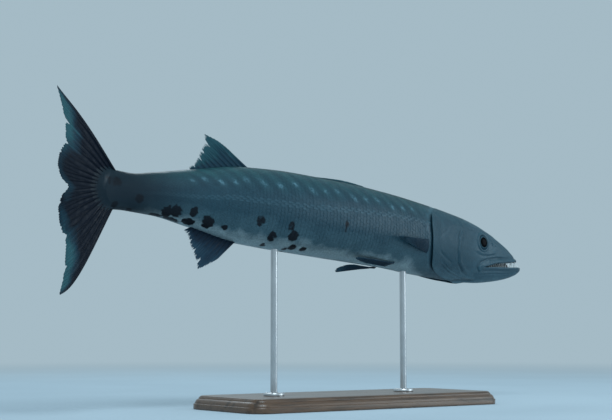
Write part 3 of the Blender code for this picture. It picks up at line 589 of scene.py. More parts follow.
@dataclass(frozen=True)
class Blotch:
    """One black mark: its station, degrees below the widest line, and half its length and height."""

    station: float
    below: float
    half_length: float
    half_angle: float
    strength: float = 1.0

    def darkness(self, station: Array, below: Array, wave: Array) -> Array:
        """How dark it makes each place, with an edge that waves in and out.

        Args:
            station: places along the fish.
            below: degrees below the widest line.
            wave: from -1 to 1, where the edge goes in and out.

        Returns:
            Numbers from 0 to the mark's strength.
        """
        along, down = (station - self.station) / self.half_length, (below - self.below) / self.half_angle
        reach = np.hypot(along, down)
        return self.strength * smooth_step((1.28 - reach + 0.14 * wave) / 0.56)

    def mirrored(self, number: int) -> "Blotch":
        """The mark for the unseen left side, which is like this one and not the same.

        Args:
            number: its place in the list, which sets how it differs.

        Returns:
            The other mark.
        """
        return Blotch(
            self.station + 0.012 * math.sin(2.3 * number + 1.0), self.below + 9 * math.sin(1.7 * number),
            self.half_length * (1 + 0.25 * math.sin(3.1 * number)),
            self.half_angle * (1 + 0.2 * math.cos(2.7 * number)), self.strength,
        )


@dataclass
class Markings:
    """Where the fish is dark, barred and pale, for the skin and for the scales alike."""

    shape: FishShape
    bar_stretch: Stretch = Stretch((0.335, 0.862), (0.03, 0.03))
    bar_band: Stretch = Stretch((-88.0, -8.0), (14.0, 12.0))
    bar_lean: float = 0.0007
    bar_middle: float = 28.0
    bar_count: Curve = Curve((
        (0.335, -9.1), (0.609, 0.0), (0.639, 1.0), (0.675, 2.0), (0.706, 3.0), (0.737, 4.0), (0.762, 5.0),
        (0.788, 6.0), (0.813, 7.0), (0.839, 8.0), (0.890, 10.0),
    ))
    # Level and width of the painted glints off the scales between the bars.
    dash_height: float = 29.0
    dash_width: float = 4.6
    line_width: float = 1.6
    line_start: float = 0.318
    throat_tone: float = 0.42
    blotches: tuple[Blotch, ...] = (
        Blotch(0.8800, 56, 0.0100, 22), Blotch(0.8640, 46, 0.0105, 19), Blotch(0.8330, 38, 0.0075, 13),
        Blotch(0.8360, 68, 0.0120, 15), Blotch(0.8030, 53, 0.0110, 18), Blotch(0.7720, 53, 0.0055, 7),
        Blotch(0.7100, 29, 0.0085, 10, 0.8), Blotch(0.6800, 53, 0.0090, 12, 0.85),
        Blotch(0.6500, 30, 0.0075, 7, 0.75), Blotch(0.6400, 46, 0.0105, 10),
        Blotch(0.6310, 70, 0.0075, 9), Blotch(0.6080, 70, 0.0060, 8), Blotch(0.6420, 80, 0.0050, 8, 0.8),
        Blotch(0.6870, 78, 0.0055, 8, 0.8), Blotch(0.5370, 16, 0.0042, 10, 0.75),
        Blotch(0.9350, 23, 0.0080, 14), Blotch(0.9780, 52, 0.0060, 14), Blotch(0.8960, 80, 0.0130, 12),
        Blotch(0.8650, 82, 0.0150, 12), Blotch(0.9830, -22, 0.0150, 16, 0.7),
        Blotch(0.9480, 72, 0.0060, 12, 0.8),
    )
    lateral_line: Curve = Curve((
        (0.30, -16.0), (0.412, -12.0), (0.486, -8.0), (0.554, -4.0), (0.64, 0.0), (0.75, 0.0),
        (0.80, 3.0), (0.845, 6.0), (0.95, 6.0), (1.0, 4.0),
    ))

    def read(self, station: Array, angle: Array) -> Values:
        """Values that the body's material reads at each point.

        Args:
            station: places along the fish.
            angle: angles round it, in radians.

        Returns:
            Named values from 0 to 1: tone (belly to back), blotch, bars, painted glint and lateral line.
        """
        below, left = -level_degrees(angle), np.cos(angle) > 0
        blotch = np.zeros(np.shape(station))
        wave = np.sin(station * 420 + below * 0.21) * np.sin(below * 0.33 - station * 250)
        for number, mark in enumerate(self.blotches):
            for one, here in ((mark, ~left), (mark.mirrored(number), left)):
                dark = one.darkness(station, below, wave)
                blotch = np.where(here, np.maximum(blotch, dark), blotch)
        # Bars lean forward towards the back, and a painted scale glint stands in each space between them.
        ends = self.bar_stretch(station)
        phase = self.bar_count(station + self.bar_lean * (below + self.bar_middle))
        spaces = 0.5 + 0.5 * np.cos(2 * math.pi * phase)
        wobble = 4.0 * np.sin(station * 71)
        line = hump(below - self.lateral_line(station), self.line_width)
        # The jaw and throat stay dusky, and the pale belly starts behind them.
        pale = self.throat_tone + (1 - self.throat_tone) * smooth_step((station - 0.26) / 0.12)
        return {
            "tone": 0.5 - below / 180 * pale, "blotch": blotch,
            "bars": (1 - spaces) ** 1.3 * self.bar_band(below) * ends,
            "dash": spaces**5 * hump(below + self.dash_height + wobble, self.dash_width) * ends,
            "line": line * smooth_step((station - self.line_start) / 0.02),
            "station": np.asarray(station, float),
        }


class TreeBuilder:
    """A node tree that short calls build up."""

    def __init__(self, tree: NodeTree) -> None:
        """Keeps the tree."""
        self.tree = tree

    def feed(self, target: NodeSocket, source: object) -> None:
        """Links a socket to another, or sets its value.

        Args:
            target: the socket to feed.
            source: a socket, a colour or any other value.
        """
        if isinstance(source, NodeSocket):
            self.tree.links.new(source, target)
        elif isinstance(source, tuple) and target.type == "RGBA":
            target.default_value = (*source, 1.0)
        else:
            target.default_value = source

    def node(self, kind: str, inputs: dict[str | int, object] | None = None, **settings: object) -> Node:
        """Adds a node, sets its properties and feeds its inputs.

        Args:
            kind: Blender's name for the node.
            inputs: a socket or a value for each input, by name or number.
            **settings: the node's own properties.

        Returns:
            The node.
        """
        made = self.tree.nodes.new(kind)
        for key, value in settings.items():
            setattr(made, key, value)
        for key, source in (inputs or {}).items():
            self.feed(made.inputs[key], source)
        return made

    def maths(self, operation: str, first: object, second: object = 0.0) -> NodeSocket:
        """A sum on one or two sockets or numbers."""
        return self.node("ShaderNodeMath", {0: first, 1: second}, operation=operation).outputs[0]

    def plus(self, first: object, second: object) -> NodeSocket:
        """The first and the second together."""
        return self.maths("ADD", first, second)

    def less(self, first: object, second: object) -> NodeSocket:
        """The first less the second."""
        return self.maths("SUBTRACT", first, second)

    def times(self, first: object, second: object) -> NodeSocket:
        """The first times the second."""
        return self.maths("MULTIPLY", first, second)


class Shading(TreeBuilder):
    """One node material."""

    def __init__(self, name: str) -> None:
        """Makes the material with its main shader.

        Args:
            name: the material's name.
        """
        self.material = bpy.data.materials.new(name)
        self.material.use_nodes = True
        super().__init__(self.material.node_tree)
        self.shader = self.tree.nodes["Principled BSDF"]

    def set(self, **values: object) -> None:
        """Feeds the main shader's sockets, named with underscores for spaces."""
        for key, value in values.items():
            self.feed(self.shader.inputs[key.replace("_", " ")], value)

    def value(self, name: str) -> NodeSocket:
        """Reads a named value of the mesh's points."""
        return self.node("ShaderNodeAttribute", attribute_name=name).outputs["Fac"]

    def place(self) -> NodeSocket:
        """The object's own coordinates."""
        return self.node("ShaderNodeTexCoord").outputs["Object"]

    def noise(self, scale: float, detail: float = 3.0, stretch: Point3 = (1.0, 1.0, 1.0)) -> NodeSocket:
        """Noise on the object's own coordinates, about 0.5 on the whole.

        Args:
            scale: how fine it is.
            detail: how many finer layers it has.
            stretch: multiples of the scale along each axis.

        Returns:
            The noise's value.
        """
        place = self.node("ShaderNodeMapping", {"Vector": self.place(), "Scale": stretch})
        return self.node("ShaderNodeTexNoise", {
            "Vector": place.outputs["Vector"], "Scale": scale, "Detail": detail,
        }).outputs["Fac"]

    def ramp(self, factor: object, stops: Sequence[tuple[float, Colour]]) -> NodeSocket:
        """A colour ramp.

        Args:
            factor: the place on it.
            stops: places with their colours, in rising order.

        Returns:
            The colour.
        """
        made = self.node("ShaderNodeValToRGB", {"Fac": factor})
        elements = made.color_ramp.elements
        while len(elements) < len(stops):
            elements.new(0.5)
        for element, (place, _) in zip(elements, stops):
            element.position = place
        for element, (_, colour) in zip(elements, stops):
            element.color = (*colour, 1.0)
        return made.outputs["Color"]

    def span(self, value: object, low: float, high: float, to_low: float = 0.0,
             to_high: float = 1.0) -> NodeSocket:
        """Maps a number from one range to another, and keeps it inside the second.

        Args:
            value: the number.
            low: start of its range.
            high: end of its range.
            to_low: result at the start.
            to_high: result at the end.

        Returns:
            The mapped number.
        """
        return self.node("ShaderNodeMapRange", {
            "Value": value, "From Min": low, "From Max": high, "To Min": to_low, "To Max": to_high,
        }, interpolation_type="SMOOTHSTEP").outputs["Result"]

    def spread(self, scale: float, low: float, high: float, detail: float = 3.0) -> NodeSocket:
        """Noise that runs between two numbers."""
        return self.span(self.noise(scale, detail), 0.3, 0.7, low, high)

    def mix(self, factor: object, first: object, second: object, way: str = "MIX") -> NodeSocket:
        """Mixes two colours.

        Args:
            factor: how much of the second.
            first: a colour or a socket.
            second: a colour or a socket.
            way: Blender's name for the way of mixing.

        Returns:
            The mixed colour.
        """
        return self.node("ShaderNodeMix", {"Factor": factor, 6: first, 7: second}, data_type="RGBA",
                         blend_type=way).outputs[2]

    def tinted(self, colour: object, tint: object) -> NodeSocket:
        """A colour times another, or times a number."""
        return self.mix(1.0, colour, tint, "MULTIPLY")

    def bump(self, height: object, distance: float, strength: float = 1.0,
             under: object = None) -> NodeSocket:
        """Bumps the surface by a height, on top of another bump if one is given.

        Args:
            height: the height's value.
            distance: metres that a value of 1 stands for.
            strength: share of it that shows.
            under: the bump below this one.

        Returns:
            The bent normal.
        """
        made = self.node("ShaderNodeBump", {"Height": height, "Distance": distance, "Strength": strength})
        if under is not None:
            self.feed(made.inputs["Normal"], under)
        return made.outputs["Normal"]


@dataclass(frozen=True)
class BodyFinish:
    """Steel-blue scaled skin: silvery belly, dusky flank, barred back and black blotches."""

    name: str = "barracuda_skin"
    belly: Colour = (0.42, 0.56, 0.60)
    low_flank: Colour = (0.070, 0.145, 0.180)
    flank: Colour = (0.020, 0.062, 0.088)
    # The shoulder and back are the fish's own colour lightened by painted light from above.
    shoulder_and_top_light: Colour = (0.027, 0.088, 0.112)
    back: Colour = (0.032, 0.118, 0.130)
    # Colour of the bars and scale rims, also used as painted shade in grooves and the gill slit.
    bar: Colour = (0.008, 0.028, 0.044)
    # Pale colour of the painted glints off the scales, which the lateral line shares as its own pale.
    dash: Colour = (0.15, 0.32, 0.40)
    blotch: Colour = (0.0015, 0.005, 0.010)
    stalk: Colour = (0.0015, 0.005, 0.010)
    mouth: Colour = (0.055, 0.040, 0.048)

    def make(self) -> Material:
        """Builds the material, which reads the values that the skin and scales carry.

        Returns:
            The material.
        """
        s = Shading(self.name)
        tone = s.plus(s.value("tone"), s.spread(38.0, -0.035, 0.035, 4.0))
        # Belly to back; the shoulder and back stand lighter than the flank as painted light from above.
        colour = s.ramp(tone, (
            (0.0, self.belly), (0.12, self.belly), (0.23, self.low_flank), (0.38, self.flank),
            (0.56, self.flank), (0.68, self.shoulder_and_top_light), (0.84, self.back),
        ))
        colour = s.tinted(colour, s.span(s.noise(420.0, 2.0), 0.35, 0.65, 0.84, 1.14))
        # Painted glints, broken into flecks; the lateral line mixes in the same pale colour.
        glint_fleck = s.times(s.value("dash"), s.span(s.noise(230.0, 2.0), 0.40, 0.60, 0.15, 1.0))
        ragged = s.plus(s.value("blotch"), s.spread(120.0, -0.26, 0.22))
        # The bar colour is also mixed in as painted shade where the skin's relief has grooves.
        for share, over in (
            (s.times(s.value("bars"), 0.42), self.bar), (s.times(s.value("line"), 0.14), self.dash),
            (s.times(glint_fleck, 0.9), self.dash),
            (s.span(s.value("station"), 0.80, 0.955, 0.0, 0.94), self.stalk),
            (s.times(s.value("rim"), 0.5), self.bar), (s.span(ragged, 0.26, 0.80), self.blotch),
            (s.value("crease"), self.bar), (s.value("inner"), self.mouth),
        ):
            colour = s.mix(share, colour, over)
        grain = s.bump(s.noise(900.0), 0.25 * MILLIMETRE, 0.5)
        pores = s.bump(s.noise(260.0, 2.0), 0.5 * MILLIMETRE, 0.35, grain)
        s.set(Base_Color=colour, Roughness=s.spread(90.0, 0.34, 0.50), Normal=pores, Coat_Weight=0.05,
              Coat_Roughness=0.22, Metallic=s.span(tone, 0.05, 0.45, 0.30, 0.10), Specular_IOR_Level=0.22)
        return s.material


@dataclass(frozen=True)
class FinFinish:
    """Rayed membrane, dark at its root and thinning towards a pale edge."""

    name: str
    root: Colour = (0.008, 0.026, 0.046)
    middle: Colour = (0.014, 0.046, 0.070)
    edge: Colour = (0.026, 0.088, 0.108)
    ray_tint: Colour = (0.30, 0.36, 0.42)
    ray_dark: float = 0.45

    def make(self) -> Material:
        """Builds the material, which reads how far out and how near a ray each point is.

        Returns:
            The material.
        """
        s = Shading(self.name)
        reach = s.plus(s.value("pale"), s.spread(30.0, -0.16, 0.16))
        colour = s.ramp(reach, (
            (0.0, self.root), (0.30, self.root), (0.62, self.middle), (1.0, self.edge),
        ))
        ray = s.value("ray")
        colour = s.mix(s.times(ray, self.ray_dark), colour, s.tinted(colour, self.ray_tint))
        joints = s.times(s.maths("SINE", s.times(s.value("along"), 260.0)), ray)
        normal = s.bump(s.plus(s.times(joints, 0.35), s.noise(500.0)), 0.3 * MILLIMETRE, 0.6)
        s.set(Base_Color=colour, Roughness=s.spread(120.0, 0.34, 0.52, 2.0), Normal=normal,
              Specular_IOR_Level=0.10)
        return s.material


@dataclass(frozen=True)
class EyeFinish:
    """A dark round pupil in a dusky silver iris, under a wet clear surface."""

    name: str = "barracuda_eye"
    pupil: Colour = (0.0010, 0.0015, 0.0025)
    inner_ring: Colour = (0.060, 0.120, 0.145)
    iris: Colour = (0.014, 0.042, 0.062)
    outer: Colour = (0.006, 0.018, 0.030)

    def make(self) -> Material:
        """Builds the material, which reads the distance from the pupil's middle.

        Returns:
            The material.
        """
        s = Shading(self.name)
        reach = s.plus(s.value("reach"), s.spread(120.0, -0.02, 0.02))
        colour = s.ramp(reach, (
            (0.0, self.pupil), (0.58, self.pupil), (0.61, self.inner_ring), (0.66, self.iris),
            (0.80, self.iris), (0.95, self.outer), (1.0, self.outer),
        ))
        streaks = s.span(s.maths("SINE", s.times(s.value("turn"), 46.0)), -1.0, 1.0, 0.75, 1.2)
        colour = s.mix(s.span(reach, 0.57, 0.63), colour, s.tinted(colour, streaks))
        s.set(Base_Color=colour, Roughness=s.spread(300.0, 0.16, 0.24), Coat_Weight=0.08,
              Coat_Roughness=0.03, Specular_IOR_Level=0.0, Metallic=s.span(reach, 0.61, 0.70, 0.0, 0.35))
        return s.material


@dataclass(frozen=True)
class ToothFinish:
    """Ivory enamel, darker at the gum and clearer at the point."""

    name: str = "tooth_enamel"
    gum: Colour = (0.16, 0.16, 0.15)
    point: Colour = (0.50, 0.58, 0.58)

    def make(self) -> Material:
        """Builds the material, which reads how far up the tooth each point is.

        Returns:
            The material.
        """
        s = Shading(self.name)
        reach = s.plus(s.value("along"), s.spread(600.0, -0.1, 0.1))
        s.set(Base_Color=s.ramp(reach, ((0.0, self.gum), (0.45, self.point), (1.0, self.point))),
              Roughness=s.spread(800.0, 0.16, 0.26), Coat_Weight=0.4, Coat_Roughness=0.1)
        return s.material


@dataclass(frozen=True)
class WoodFinish:
    """Dark satin hardwood with its grain along the base."""

    name: str = "base_wood"
    dark: Colour = (0.035, 0.020, 0.012)
    warm: Colour = (0.115, 0.062, 0.034)
    stretch: Point3 = (1.2, 16.0, 16.0)
    fine_stretch: Point3 = (1.0, 22.0, 22.0)

    def make(self) -> Material:
        """Builds the material with streaky grain and small open pores.

        Returns:
            The material.
        """
        s = Shading(self.name)
        broad, fine = s.noise(6.0, 5.0, self.stretch), s.noise(46.0, 4.0, self.fine_stretch)
        grain = s.plus(s.times(broad, 0.7), s.times(fine, 0.3))
        pores = s.span(fine, 0.60, 0.72)
        colour = s.ramp(grain, ((0.36, self.dark), (0.50, self.warm), (0.64, self.dark)))
        s.set(Base_Color=s.mix(s.times(pores, 0.6), colour, self.dark),
              Roughness=s.span(broad, 0.3, 0.7, 0.30, 0.42), Coat_Weight=0.25, Coat_Roughness=0.2,
              Normal=s.bump(s.less(grain, pores), 0.25 * MILLIMETRE, 0.5))
        return s.material


@dataclass(frozen=True)
class SteelFinish:
    """Brushed stainless steel, its fine lines round the rod."""

    name: str = "rod_steel"
    bright: Colour = (0.58, 0.59, 0.60)
    dull: Colour = (0.50, 0.51, 0.52)

    def make(self) -> Material:
        """Builds the material with fine turned lines.

        Returns:
            The material.
        """
        s = Shading(self.name)
        lines = s.noise(40.0, 2.0, (1.0, 1.0, 30.0))
        cloud = s.noise(40.0, 2.0)
        s.set(Base_Color=s.ramp(cloud, ((0.3, self.dull), (0.7, self.bright))), Metallic=1.0,
              Roughness=s.span(lines, 0.3, 0.7, 0.30, 0.38), Normal=s.bump(lines, 0.01 * MILLIMETRE, 0.3))
        return s.material


@dataclass(frozen=True)
class FloorFinish:
    """Plain pale studio floor."""

    name: str = "studio_floor"
    pale: Colour = (0.43, 0.52, 0.58)
    surround: Colour = (0.375, 0.495, 0.5625)
    fade: Point2 = (0.9, 3.6)

    def make(self) -> Material:
        """Builds the material, which melts into the surround with distance from the model.

        Returns:
            The material.
        """
        s = Shading(self.name)
        away = s.node("ShaderNodeVectorMath", {0: s.place()}, operation="LENGTH")
        far = s.span(away.outputs["Value"], *self.fade)
        near, black = s.tinted(self.pale, s.spread(3.0, 0.98, 1.02, 2.0)), (0.0, 0.0, 0.0)
        s.set(Base_Color=s.mix(far, near, black), Roughness=0.85, Specular_IOR_Level=0.0,
              Emission_Color=s.mix(far, black, self.surround), Emission_Strength=1.0)
        return s.material


class MeshMaker:
    """Collects grids of points, their faces and named values into one mesh object."""

    def __init__(self) -> None:
        """Starts empty."""
        self.points: list[Array] = []
        self.faces: list[Array] = []
        self.values: dict[str, list[Array]] = {}
        self.count = 0

    def add(self, points: Array, faces: Array, values: Values | None = None) -> None:
        """Adds points and faces that count from the first of these points.

        Args:
            points: places, in any array whose last axis is 3 long.
            faces: indices of four corners, or three with the last one repeated.
            values: a number for each point, by name. Every call gives the same names.
        """
        flat = points.reshape(-1, 3)
        self.points.append(flat)
        self.faces.append(np.asarray(faces) + self.count)
        for name, value in (values or {}).items():
            everywhere = np.broadcast_to(value, points.shape[:-1]).reshape(-1)
            self.values.setdefault(name, []).append(everywhere)
        self.count += len(flat)

    def add_tube(self, grid: Array, values: Values | None = None) -> None:
        """Adds a grid of rings whose last column joins the first."""
        self.add(grid, grid_faces(*grid.shape[:2], wrap=True), values)

    def build(self, name: str, look: Material, merge: float = 2e-6, sharp: float = 60.0) -> Object:
        """Makes the object, merges doubled points and turns its faces outwards.

        Args:
            name: the object's name.
            look: its material.
            merge: distance at which points become one, in metres.
            sharp: angle in degrees past which an edge isn't smoothed.

        Returns:
            The object.
        """
        mesh = bpy.data.meshes.new(name)
        faces = [tuple(dict.fromkeys(face)) for face in np.concatenate(self.faces).tolist()]
        mesh.from_pydata(np.concatenate(self.points).tolist(), [], [f for f in faces if len(f) > 2])
        store(mesh, {key: np.concatenate(parts) for key, parts in self.values.items()})
        shape = bmesh.new()
        shape.from_mesh(mesh)
        bmesh.ops.remove_doubles(shape, verts=shape.verts, dist=merge)
        bmesh.ops.dissolve_degenerate(shape, edges=shape.edges, dist=merge)
        bmesh.ops.recalc_face_normals(shape, faces=shape.faces)
        shape.to_mesh(mesh)
        shape.free()
        return finished_object(name, mesh, look, sharp)


def store(mesh: Mesh, values: Values) -> None:
    """Keeps a number for each of a mesh's points under each name.

    Args:
        mesh: the mesh.
        values: the numbers, by name.
    """
    for key, numbers in values.items():
        layer = mesh.attributes.new(key, "FLOAT", "POINT")
        layer.data.foreach_set("value", np.asarray(numbers, np.float32))


def taken(mesh: Mesh, key: str) -> Array:
    """Reads a named number of each point, and removes it from the mesh.

    Args:
        mesh: the mesh.
        key: the number's name.

    Returns:
        One number for each point.
    """
    layer = mesh.attributes[key]
    numbers = np.empty(len(mesh.vertices), np.float32)
    layer.data.foreach_get("value", numbers)
    mesh.attributes.remove(layer)
    return numbers.astype(float)


def linked(name: str, data: ID) -> Object:
    """Makes an object and links it into the scene.

    Args:
        name: its name.
        data: its mesh, camera or light.

    Returns:
        The object.
    """
    obj = bpy.data.objects.new(name, data)
    bpy.context.scene.collection.objects.link(obj)
    return obj


def finished_object(name: str, mesh: Mesh, look: Material, sharp: float) -> Object:
    """Links a mesh as a smooth-shaded object with one material.

    Args:
        name: the object's name.
        mesh: its mesh.
        look: its material.
        sharp: angle in degrees past which an edge isn't smoothed.

    Returns:
        The object.
    """
    mesh.materials.clear()
    mesh.materials.append(look)
    mesh.shade_smooth()
    mesh.set_sharp_from_angle(angle=math.radians(sharp))
    mesh.name = name
    return linked(name, mesh)


def grid_faces(rows: int, columns: int, wrap: bool = False) -> Array:
    """Corner indices of a grid's faces.

    Args:
        rows: rows of points.
        columns: points in each row.
        wrap: whether the last column joins the first.

    Returns:
        One row of four indices for each face.
    """
    span = columns if wrap else columns - 1
    r, c = np.meshgrid(np.arange(rows - 1), np.arange(span), indexing="ij")
    after = (c + 1) % columns
    corners = (r * columns + c, r * columns + after, (r + 1) * columns + after, (r + 1) * columns + c)
    return np.stack([corner.reshape(-1) for corner in corners], -1)


def capped_faces(rows: int, columns: int) -> Array:
    """Faces of a closed grid of rings, fanned at each end to one of two further points.

    Args:
        rows: number of rings.
        columns: points in each.

    Returns:
        One row of four indices for each face.
    """
    ring, count = np.arange(columns), rows * columns
    after, top = (ring + 1) % columns, count - columns
    first, last = np.full(columns, count), np.full(columns, count + 1)
    return np.concatenate([
        grid_faces(rows, columns, wrap=True), np.stack([after, ring, first, first], -1),
        np.stack([top + ring, top + after, last, last], -1),
    ])


def sheet_grid(middle: Array, offset: Array) -> tuple[Array, Array]:
    """Points and faces of a closed thin sheet on both sides of a grid.

    Args:
        middle: the grid's points.
        offset: from the middle to its upper face, at each point.

    Returns:
        Points and faces.
    """
    rows, columns = middle.shape[:2]
    ring = np.concatenate([middle + offset, (middle - offset)[:, ::-1]], 1)
    faces = [grid_faces(rows, 2 * columns, wrap=True)]
    for row, way in ((0, 1), (rows - 1, -1)):
        near = row * 2 * columns + np.arange(columns - 1)
        far = (2 * row + 2) * columns - 2 - np.arange(columns - 1)
        faces.append(np.stack([near, near + 1, far, far + 1], -1)[:, ::way])
    return ring, np.concatenate(faces)


class NodeRecipe(TreeBuilder):
    """A Geometry Nodes tree with named inputs, run once to give a plain mesh."""

    def __init__(self, name: str) -> None:
        """Starts the tree with its geometry input and output.

        Args:
            name: the tree's name.
        """
        super().__init__(bpy.data.node_groups.new(name, "GeometryNodeTree"))
        for way in ("INPUT", "OUTPUT"):
            self.tree.interface.new_socket("Geometry", in_out=way, socket_type="NodeSocketGeometry")
        self.sizes: dict[str, float] = {}
        self.entry = self.node("NodeGroupInput")

    def size(self, name: str, value: float) -> NodeSocket:
        """Adds a named number to the tree's inputs.

        Args:
            name: its name.
            value: the number, whole or not.

        Returns:
            Its socket.
        """
        kind = "NodeSocketInt" if isinstance(value, int) else "NodeSocketFloat"
        self.tree.interface.new_socket(name, in_out="INPUT", socket_type=kind)
        self.sizes[name] = value
        return self.entry.outputs[name]

    def vector(self, x: object = 0.0, y: object = 0.0, z: object = 0.0) -> NodeSocket:
        """A vector of three sockets or numbers."""
        return self.node("ShaderNodeCombineXYZ", {0: x, 1: y, 2: z}).outputs[0]

    def read(self, name: str) -> NodeSocket:
        """A named number that the points carry."""
        return self.node("GeometryNodeInputNamedAttribute", {"Name": name}, data_type="FLOAT").outputs[0]

    def chance(self, low: object, high: object, seed: object) -> NodeSocket:
        """A random number for each point, between two others."""
        inputs = {"Min": low, "Max": high, "Seed": seed}
        return self.node("FunctionNodeRandomValue", inputs, data_type="FLOAT").outputs[1]

    def run(self, source: Object, geometry: NodeSocket, look: Material) -> Mesh:
        """Closes the tree, runs it on an object and removes that object.

        Args:
            source: the object whose mesh goes in.
            geometry: the socket that holds the tree's result.
            look: the material to set.

        Returns:
            The result as a plain mesh.
        """
        real = self.node("GeometryNodeRealizeInstances", {"Geometry": geometry})
        dressed = self.node("GeometryNodeSetMaterial", {"Geometry": real.outputs[0], "Material": look})
        self.node("NodeGroupOutput", {0: dressed.outputs[0]})
        modifier = source.modifiers.new("recipe", "NODES")
        modifier.node_group = self.tree
        for item in self.tree.interface.items_tree:
            if item.in_out == "INPUT" and item.name in self.sizes:
                modifier[item.identifier] = self.sizes[item.name]
        bpy.context.view_layer.update()
        graph = bpy.context.evaluated_depsgraph_get()
        mesh = bpy.data.meshes.new_from_object(
            source.evaluated_get(graph), preserve_all_data_layers=True, depsgraph=graph
        )
        source.modifiers.clear()
        bpy.data.objects.remove(source)
        return mesh


def point_object(name: str, points: Array, values: Values) -> Object:
    """An object of loose points with named values, to feed a recipe.

    Args:
        name: its name.
        points: the points.
        values: numbers at each point, by name.

    Returns:
        The object.
    """
    mesh = bpy.data.meshes.new(name)
    mesh.from_pydata(points.tolist(), [], [])
    store(mesh, values)
    return linked(name, mesh)


def hand_over(piece: Object, slot: str, *nodes: str) -> Object:
    """Lets a finished piece ride on the frame in place of CAD nodes, and reports it.

    Args:
        piece: the finished object.
        slot: the record's material slot; not used.
        *nodes: the CAD nodes it stands for.

    Returns:
        The piece.
    """
    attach(piece, ROOT_BODY)
    if nodes:
        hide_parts(*nodes)
    triangles = sum(len(face.vertices) - 2 for face in piece.data.polygons)
    LOG.info("%s: %d triangles", piece.name, triangles)
    return piece


